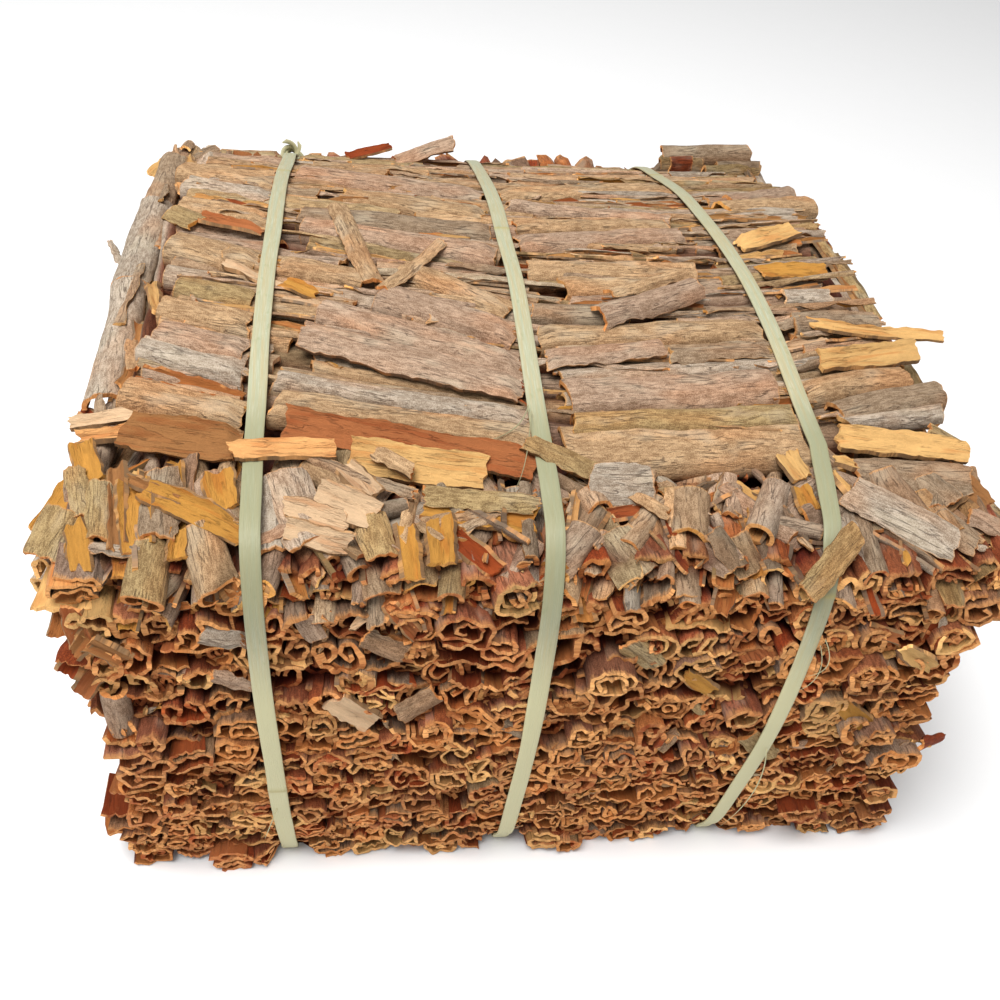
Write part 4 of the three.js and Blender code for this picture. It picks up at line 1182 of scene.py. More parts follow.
# ---- Inner block ----
def tube_faces(rows, columns, first=0):
    """Faces of an open tube whose corners go round it in each row, one row after the other."""
    index = np.arange(rows * columns).reshape(rows, columns) + first
    beside = np.roll(index, -1, 1)
    return np.stack([index[:-1], beside[:-1], beside[1:], index[1:]], -1).reshape(-1, 4)


def inner_block(name):
    """A closed tube along X with a fan at each end. At each angle round its middle line it reaches as far as the
    bale's form less an inset, evened over three angles, plus noise, and a little less far near both ends."""
    inset = 15.0
    middle_y, middle_z = -2.0, 105.0
    around = np.linspace(0, 2 * math.pi, 73)[:-1]
    x = np.linspace(-172, 168, 60)
    heading = np.stack([np.cos(around), np.sin(around)], 1)
    tried = np.linspace(0, 260, 520)[None, :]
    y = middle_y + heading[:, :1] * tried
    z = middle_z + heading[:, 1:] * tried
    inside = (z > 8) & (y > flared_front(z) + inset + 4) & (y < back(z) - inset) & (z < crown(y) - inset)
    inside &= ~((y < CROSS_FRONT) & (z > 188))
    edge = tried[0, np.argmin(inside, axis=1)]
    edge = (np.roll(edge, 1) + 2 * edge + np.roll(edge, -1)) / 4
    u, v = np.meshgrid(x, np.arange(len(around)), indexing="ij")
    radius = edge[None, :] + 2.5 * ripple(u / 9, v / 1.5, 5)
    radius = radius * (1 - np.clip((np.abs(u - x.mean()) - 150) / 40, 0, 1) ** 2 * 0.15)
    body = np.stack([u, middle_y + heading[None, :, 0] * radius, middle_z + heading[None, :, 1] * radius], -1)
    rows, columns = body.shape[:2]
    centres = np.array([[x[0] - 3, middle_y, middle_z], [x[-1] + 3, middle_y, middle_z]])
    corners = np.concatenate([body.reshape(-1, 3), centres])
    near, far = rows * columns, rows * columns + 1
    first = np.arange(columns)
    following = np.roll(first, -1)
    last = first + near - columns
    faces = tube_faces(rows, columns).tolist()
    faces += np.stack([np.full(columns, near), following, first], 1).tolist()
    faces += np.stack([np.full(columns, far), last, np.roll(last, -1)], 1).tolist()
    mesh = bpy.data.meshes.new(name)
    mesh.from_pydata(((corners + ORIGIN) * MM).tolist(), [], faces)
    mesh.polygons.foreach_set("use_smooth", np.ones(len(mesh.polygons), bool))
    return mesh


# ---- Bands ----
STRAP_STATIONS = 640
# Where a leaf grew on each band, and the knot at the back: Y and Z.
RINGS = {
    "bamboo_band_left": ((-216, 77), (120, 219), (226, 60)),
    "bamboo_band_middle": ((30, 235), (226, 80)),
    "bamboo_band_right": ((-205, 193), (150, 210)),
}
KNOTS = {"bamboo_band_left": (197, 190), "bamboo_band_middle": (214, 148), "bamboo_band_right": (214.5, 138)}


def bamboo_piece(band, part, corners, faces, grain, ring):
    """One piece of split bamboo, which stands for its band."""
    mesh = new_mesh(f"{band}_{part}", corners, faces)
    spread_grain(mesh, faces, grain)
    paint(mesh, "ring", "FLOAT", "POINT", ring)
    piece(mesh, material("split_bamboo"), band)


def strap(band, number, group):
    """A band: a rounded rectangle, its corners powers of a cosine and a sine, carried along the route. It is thicker
    at the rings where a leaf grew, by a bell along its length."""
    route, length = band_route(STRAP_STATIONS)
    normal = outward(route)
    angle = np.linspace(0, 2 * math.pi, 14, endpoint=False)
    wide = np.sign(np.cos(angle)) * np.abs(np.cos(angle)) ** 0.35 * group.width / MM / 2
    thick = np.sign(np.sin(angle)) * np.abs(np.sin(angle)) ** 0.8 * group.thickness / MM / 2
    turn = np.arange(len(route)) / len(route)
    ring = np.zeros(len(route))
    for place in RINGS[band]:
        nearest = np.argmin(((route - place) ** 2).sum(1))
        away = (np.arange(len(route)) - nearest) * length / len(route)
        ring = np.maximum(ring, np.exp(-((away / 1.5) ** 2)))
    breadth = 1 + 0.04 * ripple(turn * 40, 0, number + 3) + 0.05 * ring
    sway = 0.5 * ripple(turn * 26, 0, number + 8)
    x = band_x(band, route[:, 0], route[:, 1]) + sway
    across = x[:, None] + wide[None, :] * breadth[:, None]
    thick = thick[None, :] * (1 + 0.7 * ring[:, None] + 0.12 * ripple(turn * 60, 1, number + 5)[:, None])
    corners = np.stack([across, route[:, :1] + normal[:, :1] * thick, route[:, 1:] + normal[:, 1:] * thick], -1)
    corners[..., 2] = np.maximum(corners[..., 2], 0.15)
    rows, columns = corners.shape[:2]
    index = np.arange(rows * columns).reshape(rows, columns)
    ahead = np.roll(index, -1, 0)
    faces = np.stack([index, ahead, np.roll(ahead, -1, 1), np.roll(index, -1, 1)], -1).reshape(-1, 4)
    u = np.broadcast_to((wide / 10)[None, :] + number * 5, (rows, columns))
    v = np.broadcast_to((turn * length / 10)[:, None] + number * 11, (rows, columns))
    grain = np.stack([u, v], -1).reshape(-1, 2)
    bamboo_piece(band, "strap", corners.reshape(-1, 3), faces, grain, np.repeat(ring, columns))


def knot(band, number):
    """Both ends of a band twisted together: four ribbons wound round a line along the band, each a line across that
    turns as it goes, further from the middle line towards both tips by a fourth power."""
    wall, strands = 0.9, 4
    spot = np.array(KNOTS[band], float)
    route, _ = band_route(STRAP_STATIONS)
    nearest = np.argmin(((route - spot) ** 2).sum(1))
    out = outward(route)[nearest]
    out = np.array([0, out[0], out[1]])
    side = np.array([1.0, 0, 0])
    along = np.cross(side, out)
    centre = np.array([float(band_x(band, *spot)), *spot])
    corners, faces, grain = [], [], []
    t = np.linspace(0, 1, 34)[None, :, None]
    s = np.linspace(-1, 1, 5)[:, None, None]
    for strand in range(strands):
        turn = 2 * math.pi * (1.35 * t + strand / strands) + number
        flare = np.abs(2 * t - 1) ** 4
        radius = 2.3 + 4.6 * flare
        ring_way = np.cos(turn) * side + np.sin(turn) * out
        path = centre + along * (t - 0.5) * (17 + 5 * chance(strand + number, 12)) + ring_way * radius
        breadth = 2.7 - 0.9 * flare
        middle = path + (np.cos(turn) * out - np.sin(turn) * side) * s * breadth
        half = np.broadcast_to(wall / 2 * ring_way, middle.shape)
        quads, _ = shell_faces(*middle.shape[:2])
        faces.append(quads + sum(len(c) for c in corners))
        corners += [(middle + half).reshape(-1, 3), (middle - half).reshape(-1, 3)]
        spread = np.stack(np.broadcast_arrays(s[..., 0] * 0.25 + strand, t[..., 0] * 2.4), -1).reshape(-1, 2)
        grain += [spread, spread]
    corners = np.concatenate(corners)
    bamboo_piece(band, "knot", corners, np.concatenate(faces), np.concatenate(grain), np.full(len(corners), 0.35))


# Thin fibres split off a band: three points of each curve, and its radius.
FIBRES = (
    ("bamboo_band_middle", (-11, -117, 225), (-20, -132, 223), (-36, -137, 220), 0.28),
    ("bamboo_band_middle", (-10, -120, 224), (-16, -150, 221), (-22, -162, 214), 0.22),
    ("bamboo_band_right", (105, -217.5, 98), (107.5, -219, 62), (104, -210, 12), 0.32),
    ("bamboo_band_right", (113, -211, 172), (116, -216, 160), (109, -214, 150), 0.25),
    ("bamboo_band_right", (112, -211, 168), (114.5, -215, 152), (106, -216, 141), 0.22),
    ("bamboo_band_left", (-125, -214.9, 60), (-130, -217, 44), (-133, -211, 26), 0.25),
)


def fibres(band):
    """Fibres as thin tubes of six sides along a parabola through two ends and a middle point, thinner by a cube
    towards the tip."""
    corners, faces, grain = [], [], []
    angle = np.linspace(0, 2 * math.pi, 6, endpoint=False)
    for index, (name, first, second, third, radius) in enumerate(FIBRES):
        if name != band:
            continue
        t = np.linspace(0, 1, 20)[:, None]
        a, b, c = (np.array(v, float) for v in (first, second, third))
        path = a * (1 - t) ** 2 + 2 * t * (1 - t) * (2 * b - (a + c) / 2) + c * t**2
        ahead = np.gradient(path, axis=0)
        ahead /= np.linalg.norm(ahead, axis=1, keepdims=True)
        side = np.cross(ahead, (0, -1, 0.4))
        side /= np.linalg.norm(side, axis=1, keepdims=True)
        rise = np.cross(ahead, side)
        thin = radius * (1.02 - t**3)[:, :, None]
        ring = side[:, None] * np.cos(angle)[None, :, None] + rise[:, None] * np.sin(angle)[None, :, None]
        tube = path[:, None] + ring * thin
        rows, columns = tube.shape[:2]
        near = sum(len(v) for v in corners)
        far = near + (rows - 1) * columns
        faces.append(tube_faces(rows, columns, near))
        faces.append(near + np.array([(3, 2, 1, 0), (5, 4, 3, 0)]))
        faces.append(far + np.array([(0, 1, 2, 3), (0, 3, 4, 5)]))
        corners.append(tube.reshape(-1, 3))
        flat = np.stack(np.broadcast_arrays(angle[None, :] * 0.05 + index, t * 3), -1)
        grain.append(flat.reshape(-1, 2))
    corners = np.concatenate(corners)
    bamboo_piece(band, "fibres", corners, np.concatenate(faces), np.concatenate(grain), np.full(len(corners), 0.2))


# ---- Materials ----
class Wire:
    """A node's output that can be used in a sum or a product."""

    def __init__(self, recipe, socket):
        self.recipe = recipe
        self.socket = socket

    def _with(self, operation, first, second):
        """A sum, difference or product of two outputs or numbers."""
        return self.recipe.node("ShaderNodeMath", {"operation": operation}, {0: first, 1: second})

    def __add__(self, other):
        return self._with("ADD", self, other)

    def __sub__(self, other):
        return self._with("SUBTRACT", self, other)

    def __rsub__(self, other):
        return self._with("SUBTRACT", other, self)

    def __mul__(self, other):
        return self._with("MULTIPLY", self, other)

    __radd__ = __add__
    __rmul__ = __mul__


class Recipe:
    """A material and its nodes."""

    MIX_SHARE, MIX_FIRST, MIX_SECOND, MIX_RESULT = 0, 6, 7, 2
    ATTRIBUTE_COLOUR, ATTRIBUTE_NUMBER = 0, 2
    OBJECT_PLACE = 3

    def __init__(self, name):
        self.material = bpy.data.materials.new(name)
        self.material.use_nodes = True
        self.tree = self.material.node_tree
        self.tree.nodes.clear()

    def node(self, kind, settings=None, sockets=None, output=0):
        """Adds a node: its settings first, then the values or links of its sockets. Returns one output."""
        made = self.tree.nodes.new(kind)
        for key, value in (settings or {}).items():
            setattr(made, key, value)
        for key, value in (sockets or {}).items():
            if isinstance(value, Wire):
                self.tree.links.new(value.socket, made.inputs[key])
            else:
                made.inputs[key].default_value = value
        return Wire(self, made.outputs[output]) if made.outputs else None

    def grain(self):
        """The piece's own map: across the grain and along it, in units of 10 mm."""
        return self.node("ShaderNodeUVMap", {"uv_map": "grain"})

    def place(self):
        """The object's own coordinates, in metres."""
        return self.node("ShaderNodeTexCoord", output=self.OBJECT_PLACE)

    def coordinate(self, place, axis):
        """One of the three coordinates of a place."""
        return self.node("ShaderNodeSeparateXYZ", None, {0: place}, axis)

    def number(self, name):
        """A number that the mesh keeps for each face or corner."""
        return self.node("ShaderNodeAttribute", {"attribute_name": name}, output=self.ATTRIBUTE_NUMBER)

    def colour(self, name):
        """A colour that the mesh keeps for each face."""
        return self.node("ShaderNodeAttribute", {"attribute_name": name}, output=self.ATTRIBUTE_COLOUR)

    def ramp(self, value, low, high):
        """0 below low, 1 above high, eased between."""
        return self.node("ShaderNodeMapRange", {"interpolation_type": "SMOOTHSTEP"},
                         {"Value": value, "From Min": low, "From Max": high})

    def above(self, value, level):
        """1 above the level and 0 below it."""
        return self.node("ShaderNodeMath", {"operation": "GREATER_THAN"}, {0: value, 1: level})

    def size(self, value):
        """The value without its sign."""
        return self.node("ShaderNodeMath", {"operation": "ABSOLUTE"}, {0: value})

    def mix(self, first, second, share, how="MIX"):
        """The first colour, turned into the second by a share."""
        first, second = (c if isinstance(c, Wire) else (*c, 1) for c in (first, second))
        return self.node("ShaderNodeMix", {"data_type": "RGBA", "blend_type": how},
                         {self.MIX_SHARE: share, self.MIX_FIRST: first, self.MIX_SECOND: second}, self.MIX_RESULT)

    def times(self, first, second):
        """One colour multiplied by another."""
        return self.mix(first, second, 1.0, "MULTIPLY")

    def grey(self, value):
        """A grey of the given value."""
        return self.node("ShaderNodeCombineColor", None, {0: value, 1: value, 2: value})

    def noise(self, where, repeats, detail=3.0, rough=0.55, warp=0.0):
        """Noise from 0 to 1 that repeats so often in a unit of each coordinate."""
        placed = self.node("ShaderNodeMapping", None, {"Vector": where, "Scale": repeats})
        return self.node("ShaderNodeTexNoise", None,
                         {"Vector": placed, "Scale": 1.0, "Detail": detail, "Roughness": rough, "Distortion": warp})

    def surface(self, colour, roughness, height, depth, specular=0.5):
        """The finished surface, with its height as a bump of a depth in metres."""
        bump = self.node("ShaderNodeBump", None, {"Height": height, "Distance": depth, "Strength": 1.0})
        shader = self.node("ShaderNodeBsdfPrincipled", None, {
            "Base Color": colour, "Roughness": roughness, "Normal": bump, "Specular IOR Level": specular})
        self.node("ShaderNodeOutputMaterial", None, {"Surface": shader})


# Noise on bark and on bamboo: how often it repeats in 10 mm across the grain, along it and out of it, then its detail,
# roughness and distortion.
BARK_NOISE = {
    "fibre": ((9, 2.4, 1), 4, 0.65, 0.2),
    "blotch": ((2.1, 1.0, 1), 4, 0.6, 0.4),
    "pores": ((21, 17, 1), 3, 0.65),
    "patch": ((0.8, 0.35, 1), 2, 0.5),
    "streak": ((3.4, 0.28, 1), 3, 0.6, 0.3),
    "hue": ((0.5, 0.16, 1), 2, 0.5),
    "crumbs": ((26, 26, 26), 2, 0.6),
}
BAMBOO_NOISE = {
    "fibre": ((34, 0.8, 1), 3, 0.6),
    "streak": ((6, 0.18, 1), 3, 0.5),
    "spot": ((2.4, 1.3, 1), 3, 0.6),
}


def bark_recipe(recipe):
    """Bark: a skin of pale grey over brown with dark lines along it, an inner side of fibres, and torn edges."""
    colours = bark_finish()
    where = recipe.grain()
    side, rim = recipe.number("side"), recipe.number("rim")
    skin, flesh = recipe.colour("skin"), recipe.colour("flesh")
    deep = recipe.number("deep")
    fibre, blotch, pores, patch, streak = (
        recipe.noise(where, *BARK_NOISE[name]) for name in ("fibre", "blotch", "pores", "patch", "streak"))
    # Skin: dark lines lie where the streaks pass their middle value, partly the bark's own dark cracks and partly
    # painted shade in them.
    line = recipe.size(streak - 0.5)
    wrinkle = (1.0 - recipe.ramp(line, 0.0, 0.02)) * recipe.ramp(patch + blotch, 0.88, 1.08)
    tone = recipe.ramp(fibre * 0.8 + blotch * 0.6 + pores * 0.9 + patch * 0.25, 1.03, 1.5)
    hue = recipe.noise(where, *BARK_NOISE["hue"])
    dark = recipe.times(skin, colours.shadow)
    light = recipe.times(skin, colours.bloom)
    outer = recipe.mix(dark, light, tone)
    outer = recipe.mix(outer, recipe.times(outer, colours.warm), recipe.ramp(hue, 0.45, 0.7))
    outer = recipe.mix(outer, colours.lichen, recipe.ramp(patch, 0.52, 0.70) * 0.32)
    outer = recipe.mix(outer, colours.crack_stain_and_shade, wrinkle * 0.55)
    torn = recipe.mix(flesh, colours.torn, 0.6)
    worn = recipe.ramp(fibre * 2.2 + patch * 3.0 - rim, 1.9, 2.7) * 0.6
    outer = recipe.mix(outer, torn, worn)
    # Inner side: fibres with reddish bruises and torn patches.
    grainy = 0.32 + fibre * 0.45 + streak * 0.5 + pores * 0.35
    bruise = recipe.ramp(streak + patch * 0.8, 0.88, 1.10) * 0.6
    inner = recipe.mix(flesh, recipe.times(flesh, colours.bruise), bruise)
    inner = recipe.mix(inner, colours.torn, recipe.ramp(blotch * 0.7 + fibre * 0.5 - rim * 0.05, 0.6, 0.85) * 0.4)
    inner = recipe.times(inner, recipe.grey(grainy))
    # Ends and long edges: crumbly, and paler in patches.
    crumbly = recipe.noise(where, *BARK_NOISE["crumbs"])
    bright = 0.5 + crumbly * 1.0 + blotch * 0.7
    pale = recipe.ramp(blotch + patch, 0.75, 1.2) * 0.62
    end = recipe.times(recipe.mix(flesh, colours.torn, pale), recipe.grey(bright))
    long_edge = recipe.mix(dark, torn, recipe.ramp(blotch, 0.46, 0.66) * 0.8)
    colour = outer
    for part, painted in (("long edge", long_edge), ("end", end), ("inner", inner)):
        colour = recipe.mix(colour, painted, recipe.above(side, HALF_WAY_TO[part]))
    # Painted shade: the deeper bark lies in the bale, by the attribute deep, the darker and redder it is painted.
    colour = recipe.mix(colour, recipe.times(colour, colours.painted_shade), recipe.ramp(deep, 0.0, 7.0) * 0.93)
    roughness = 0.95 - 0.2 * fibre
    height = fibre * 0.35 + pores * 0.65 + blotch * 0.5 - wrinkle * 0.45
    recipe.surface(colour, roughness, height, 0.0014, 0.25)


def bamboo_recipe(recipe):
    """Split bamboo: pale yellow green with fine fibres along it, long streaks and dull spots, duller where it passes
    over the shoulder and paler towards the foot, where the paler colour is painted light."""
    colours = bpy.context.scene.bamboo_finish
    where = recipe.grain()
    ring = recipe.number("ring")
    fibre, streak, spot = (recipe.noise(where, *BAMBOO_NOISE[name]) for name in ("fibre", "streak", "spot"))
    colour = recipe.mix(colours.green, colours.straw, recipe.ramp(streak, 0.35, 0.65))
    colour = recipe.mix(colour, colours.pale, recipe.ramp(fibre, 0.45, 0.75) * 0.6)
    colour = recipe.mix(colour, colours.spot, recipe.ramp(spot, 0.58, 0.74) * 0.5)
    place = recipe.place()
    depth, height = recipe.coordinate(place, 1), recipe.coordinate(place, 2)
    on_shoulder = recipe.ramp(height, 0.16, 0.2) * (1.0 - recipe.ramp(depth, -0.135, -0.10))
    colour = recipe.mix(colour, colours.dull, on_shoulder * 0.75)
    # Painted light: the bands are painted paler towards the foot.
    colour = recipe.mix(colour, colours.foot, (1.0 - recipe.ramp(height, 0.135, 0.185)) * 0.9)
    colour = recipe.mix(colour, colours.ring, ring * 0.75)
    roughness = 0.42 + 0.22 * fibre
    recipe.surface(colour, roughness, fibre + streak * 0.3, 0.00025)


def inner_recipe(recipe):
    """The bark deep inside the bale: dark brown with patches and fibres, darker than any bark outside as painted
    shade.
    """
    colours = bark_finish()
    where = recipe.place()
    patch = recipe.noise(where, (160, 160, 160), 3, 0.6)
    fine = recipe.noise(where, (700, 700, 700), 2, 0.5)
    colour = recipe.mix(colours.core, colours.russet, recipe.ramp(patch, 0.4, 0.8) * 0.4)
    recipe.surface(colour, 0.9 + 0.05 * fine, patch + fine * 0.4, 0.002)


def floor_recipe(recipe):
    """The pale floor, with a faint cloudiness."""
    fine = recipe.noise(recipe.place(), (40, 40, 40), 3, 0.5)
    level = tuple(bpy.context.scene.stage_light.floor)
    recipe.surface(recipe.mix(level, tuple(0.985 * v for v in level), fine), 0.9 + 0.02 * fine, fine, 0.0001)


RECIPES = {
    "cinnamon_bark": bark_recipe,
    "split_bamboo": bamboo_recipe,
    "inner_bark": inner_recipe,
    "pale_floor": floor_recipe,
}


def material(name):
    """A material by its name, made the first time that it is asked for."""
    if name not in bpy.data.materials:
        RECIPES[name](Recipe(name))
    return bpy.data.materials[name]


# ---- Sizes and colours that a user may change ----
def colour_property(label, text, value):
    """A colour that the user may change. Those that multiply a skin may pass 1."""
    return FloatVectorProperty(name=label, description=text, subtype="COLOR", size=3, min=0, max=2, default=value)


class BarkFinish(bpy.types.PropertyGroup):
    """Colours of the bark, and how many loose bits of it there are."""

    mauve: colour_property("Mauve skin", "Outer skin, grey with a little red", shade(160, 135, 114))
    tan: colour_property("Tan skin", "Outer skin, light brown", shade(168, 138, 104))
    lilac: colour_property("Lilac skin", "Outer skin, the bluest", shade(162, 148, 132))
    grey: colour_property("Grey skin", "Outer skin, grey brown", shade(140, 120, 98))
    olive: colour_property("Olive skin", "Outer skin, the yellowest", shade(152, 129, 90))
    rust: colour_property("Rust inside", "Inner side, orange red", shade(170, 102, 58))
    orange: colour_property("Orange inside", "Inner side and broken edges", shade(178, 110, 56))
    russet: colour_property("Russet inside", "Inner side, the reddest", shade(142, 60, 20))
    mustard: colour_property("Mustard inside", "Inner side, the yellowest", shade(192, 137, 60))
    sand: colour_property("Sand inside", "Inner side, the palest brown", shade(216, 170, 106))
    amber: colour_property("Amber inside", "Inner side, brown", shade(158, 108, 62))
    cream: colour_property("Cream inside", "Thin peeled layers", shade(214, 180, 142))
    # Umber on the quill ends is partly wear and partly painted shade between them.
    umber: colour_property("Umber", "Worn skin near the ends", shade(120, 52, 18))
    torn: colour_property("Torn fibres", "Cut and broken edges", shade(221, 162, 101))
    shadow: colour_property("Dark skin", "Darkest parts of a skin, against its own colour", (0.62, 0.54, 0.46))
    bloom: colour_property("Light skin", "Lightest parts of a skin, against its own colour", (1.56, 1.57, 1.56))
    warm: colour_property("Warm patches", "Reddish patches of a skin, against its own colour", (1.12, 0.93, 0.80))
    bruise: colour_property("Bruises", "Reddest parts of an inner side, against its own colour", (0.66, 0.42, 0.28))
    # Painted shade: the colour by which bark deep between the quills is darkened.
    painted_shade: colour_property("Gloom", "Bark deep between the quills, against its own colour", (0.30, 0.09, 0.03))
    lichen: colour_property("Lichen", "Pale patches on the skin", shade(190, 178, 154))
    # Dark lines along the skin: partly stain and partly painted shade in the cracks.
    crack_stain_and_shade: colour_property("Stain", "Dark lines along the skin", shade(72, 46, 30))
    # Painted shade: the near black brown of the bark deep inside the bale.
    core: colour_property("Deep bark", "Bark deep inside the bale", shade(54, 20, 6))
    splinters: IntProperty(name="Splinters", description="How many thin strips lie on top", default=220)
    short_quills: IntProperty(
        name="Short quills", description="How many broken quills lie on the shoulder", default=310)
    chips: IntProperty(name="Chips", description="How many chips of bark lie on the bale", default=210)


class BambooFinish(bpy.types.PropertyGroup):
    """Colours and size of the bands."""

    green: colour_property("Green", "Main colour of the bands", shade(156, 158, 130))
    straw: colour_property("Straw", "Yellower streaks", shade(164, 154, 118))
    pale: colour_property("Pale fibres", "Lightest fibres", shade(190, 191, 170))
    dull: colour_property("Dull green", "The bands where they pass over the shoulder", shade(132, 132, 100))
    # Painted light: the paler green towards the foot.
    foot: colour_property("Foot green", "The bands towards the foot of the bale", shade(192, 187, 145))
    spot: colour_property("Spots", "Dull dark spots", shade(136, 142, 104))
    ring: colour_property("Rings", "Ring where a leaf grew", shade(160, 148, 92))
    width: FloatProperty(name="Width", description="Width of a band", default=0.0083, unit="LENGTH")
    thickness: FloatProperty(name="Thickness", description="Thickness of a band", default=0.0014, unit="LENGTH")


class StageLight(bpy.types.PropertyGroup):
    """Floor and lights."""

    floor: colour_property("Floor", "Colour of the floor", (0.86, 0.86, 0.86))
    key: FloatProperty(name="Key light", description="Power of the large light", default=54.0, unit="POWER")
    sky: FloatProperty(name="Sky", description="Strength of the light from all round", default=0.5)


# ---- Operators ----
class BALE_OT_core(bpy.types.Operator):
    """Block of bark behind everything that shows, dark with painted shade: the bale's form, 15 mm further in, with a
    rough surface
    """

    bl_idname = "bale.core"
    bl_label = "Inner bark"

    def execute(self, context):
        piece(inner_block("inner_bark_block"), material("inner_bark"), "bark_bale")
        return {"FINISHED"}


class BALE_OT_front_ends(bpy.types.Operator):
    """Packed quill ends on the front face, in three pieces"""

    bl_idname = "bale.front_ends"
    bl_label = "Front quill ends"

    def execute(self, context):
        places = packed_ends()
        for height, rows in (("low", (0, 5)), ("middle", (5, 10)), ("high", (10, ROWS))):
            bark_piece("front_quill_ends_" + height, (quill_ends, places, flared_front, -1, rows, (46, 24, 18)),
                       (wavy_layers, flared_front, -1, rows, 20))
        return {"FINISHED"}


class BALE_OT_back_ends(bpy.types.Operator):
    """Packed quill ends on the back face"""

    bl_idname = "bale.back_ends"
    bl_label = "Back quill ends"

    def execute(self, context):
        places = packed_ends(7)
        places[:, 4] += FIRST_SEED["back ends"]
        bark_piece("back_quill_ends", (quill_ends, places, back, 1, (0, ROWS - 1), (26, 14, 10)),
                   (wavy_layers, back, 1, (0, ROWS - 2), 8))
        return {"FINISHED"}


class BALE_OT_cross_quills(bpy.types.Operator):
    """Quills that lie across the top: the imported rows, the uppermost quills, and torn strips between them"""

    bl_idname = "bale.cross_quills"
    bl_label = "Cross quills"

    def execute(self, context):
        half = len(CROSS_ROWS) // 2
        bark_piece("cross_rows_front", (cross_rows, (0, half)))
        bark_piece("cross_rows_back", (cross_rows, (half, len(CROSS_ROWS))))
        bark_piece("upper_quills_front", (upper_quills, (0, UPPER_IN_FRONT)))
        bark_piece("upper_quills_back", (upper_quills, (UPPER_IN_FRONT, len(UPPER))))
        bark_piece("cross_under_rows", (under_rows,))
        bark_piece("cross_splinters", (splinters, bark_finish().splinters))
        return {"FINISHED"}


class BALE_OT_shoulder(bpy.types.Operator):
    """Short broken quills on the shoulder between the cross layer and the front face"""

    bl_idname = "bale.shoulder"
    bl_label = "Shoulder quills"

    def execute(self, context):
        bark_piece("shoulder_quills", (short_quills, bark_finish().short_quills))
        return {"FINISHED"}


class BALE_OT_sides(bpy.types.Operator):
    """Long quills at both margins, on both sides and under the bale"""

    bl_idname = "bale.sides"
    bl_label = "Side and foot quills"

    def execute(self, context):
        bark_piece("margin_quills", (margins,))
        bark_piece("left_side_quills", (side_quills, -1), (side_strips, -1, 60))
        bark_piece("right_side_quills", (side_quills, 1), (side_strips, 1, 60))
        bark_piece("foot_quills", (foot_quills,))
        return {"FINISHED"}


class BALE_OT_loose_bark(bpy.types.Operator):
    """Loose boards on the bale, four of them over a band, and chips of bark"""

    bl_idname = "bale.loose_bark"
    bl_label = "Loose bark"

    def execute(self, context):
        bark_piece("loose_boards", (boards, FLAKES, FIRST_SEED["boards"]))
        bark_piece("boards_over_bands", (boards, OVER_BANDS, FIRST_SEED["boards over bands"]), pressed=False)
        bark_piece("bark_chips", (chips, bark_finish().chips))
        return {"FINISHED"}


class BALE_OT_bands(bpy.types.Operator):
    """Three flat bands of split bamboo with the rings where leaves grew, their knots, and fibres split off them"""

    bl_idname = "bale.bands"
    bl_label = "Bamboo bands"

    def execute(self, context):
        group = context.scene.bamboo_finish
        for number, band in enumerate(BANDS):
            strap(band, number, group)
            knot(band, number)
            fibres(band)
        return {"FINISHED"}


# The stage, in metres, and the camera: its place in the bale's own measure, and the angles in degrees by which it is
# turned to the right, looks down and is rolled.
FLOOR_REACH = 4
LAMP_PLACE, LAMP_AIM, LAMP_SIZE = (-0.5, -0.4, 1.9), (0, 0, 0.15), 1.1
CAMERA_PLACE, CAMERA_ANGLES = (-87.3, -476.8, 508.7), (10.83, 43.01, 7.09)
LENS, SENSOR = 37.37, 36


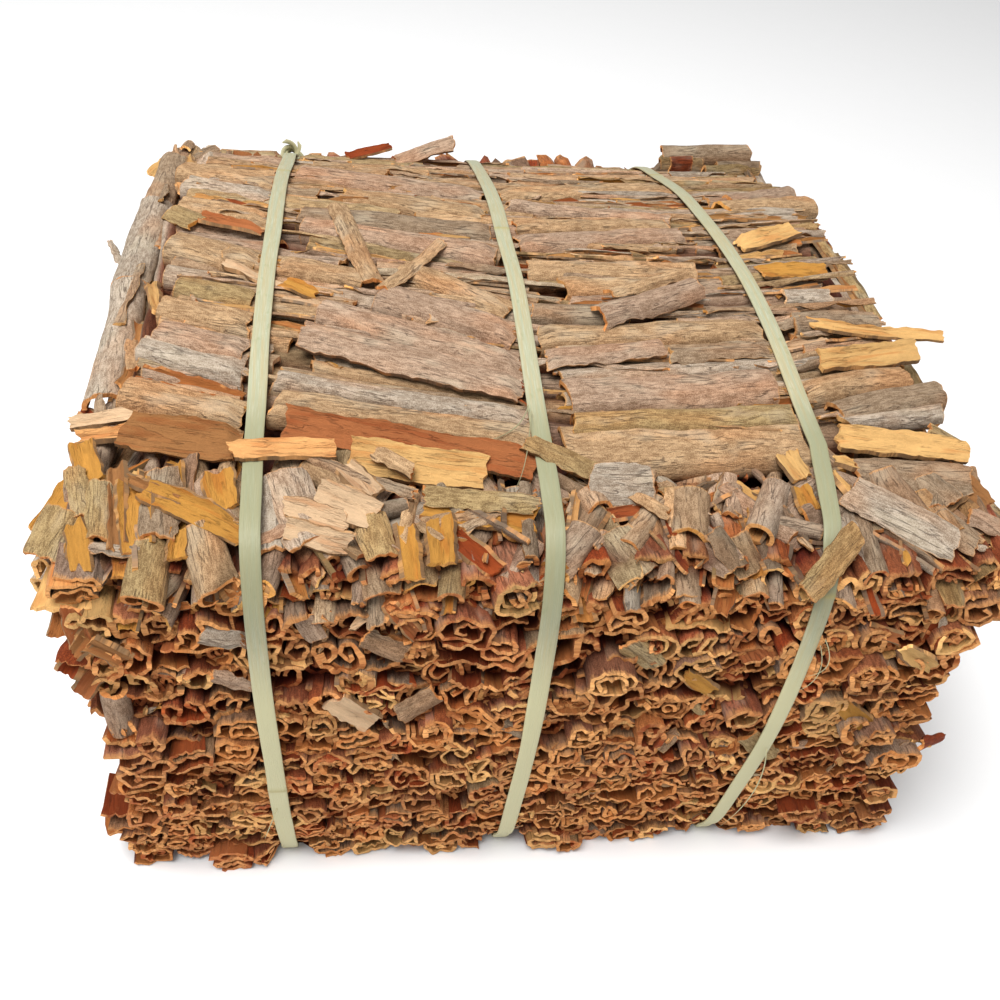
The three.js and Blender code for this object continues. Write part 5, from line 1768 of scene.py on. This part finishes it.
class BALE_OT_stage(bpy.types.Operator):
    """Floor, light and camera"""

    bl_idname = "bale.stage"
    bl_label = "Stage"

    def execute(self, context):
        light = context.scene.stage_light
        reach = FLOOR_REACH
        mesh = bpy.data.meshes.new("floor")
        mesh.from_pydata([(-reach, -reach, 0), (reach, -reach, 0), (reach, reach, 0), (-reach, reach, 0)], [],
                         [(0, 1, 2, 3)])
        mesh.materials.append(material("pale_floor"))
        put("floor", mesh)
        world = bpy.data.worlds.new("soft_light")
        world.use_nodes = True
        background = world.node_tree.nodes["Background"]
        background.inputs["Color"].default_value = (1, 1, 1, 1)
        background.inputs["Strength"].default_value = light.sky
        context.scene.world = world
        lamp = bpy.data.lights.new("large_light", "AREA")
        lamp.size = LAMP_SIZE
        lamp.energy = light.key
        holder = put("large_light", lamp)
        holder.location = LAMP_PLACE
        holder.rotation_euler = (Vector(LAMP_AIM) - Vector(holder.location)).to_track_quat("-Z", "Y").to_euler()
        view = bpy.data.cameras.new("camera")
        view.lens, view.sensor_width = LENS, SENSOR
        camera = put("camera", view)
        yaw, pitch, roll = (math.radians(v) for v in CAMERA_ANGLES)
        ahead = Vector((math.sin(yaw) * math.cos(pitch), math.cos(yaw) * math.cos(pitch), -math.sin(pitch)))
        aside = Vector((math.cos(yaw), -math.sin(yaw), 0))
        above = aside.cross(ahead)
        x_axis = aside * math.cos(roll) + above * math.sin(roll)
        y_axis = above * math.cos(roll) - aside * math.sin(roll)
        turn = Matrix((x_axis, y_axis, -ahead)).transposed()
        place = (np.array(CAMERA_PLACE) + ORIGIN) * MM
        camera.matrix_world = Matrix.Translation(Vector(place)) @ turn.to_4x4()
        context.scene.camera = camera
        context.scene.view_settings.view_transform = "Standard"
        return {"FINISHED"}


class BALE_PT_panel(bpy.types.Panel):
    """Lists the steps that build the bale"""

    bl_idname = "BALE_PT_panel"
    bl_label = "Cinnamon bark bale"
    bl_space_type = "VIEW_3D"
    bl_region_type = "UI"
    bl_category = "Bale"

    def draw(self, context):
        for step in STEPS:
            self.layout.operator(step.bl_idname)


GROUPS = {"bark_finish": BarkFinish, "bamboo_finish": BambooFinish, "stage_light": StageLight}
STEPS = (
    BALE_OT_core,
    BALE_OT_front_ends,
    BALE_OT_back_ends,
    BALE_OT_cross_quills,
    BALE_OT_shoulder,
    BALE_OT_sides,
    BALE_OT_loose_bark,
    BALE_OT_bands,
    BALE_OT_stage,
)


def register():
    """Registers the classes and hangs the groups on the scene."""
    for kind in (*GROUPS.values(), *STEPS, BALE_PT_panel):
        bpy.utils.register_class(kind)
    for name, kind in GROUPS.items():
        setattr(bpy.types.Scene, name, PointerProperty(type=kind))


def unregister():
    """Takes back what register did."""
    for name in GROUPS:
        delattr(bpy.types.Scene, name)
    for kind in reversed((*GROUPS.values(), *STEPS, BALE_PT_panel)):
        bpy.utils.unregister_class(kind)


def main():
    """Builds the bale step by step."""
    register()
    for step in STEPS:
        area, name = step.bl_idname.split(".")
        getattr(getattr(bpy.ops, area), name)()


ORIGIN = model_origin()

if __name__ == "__main__":
    main()
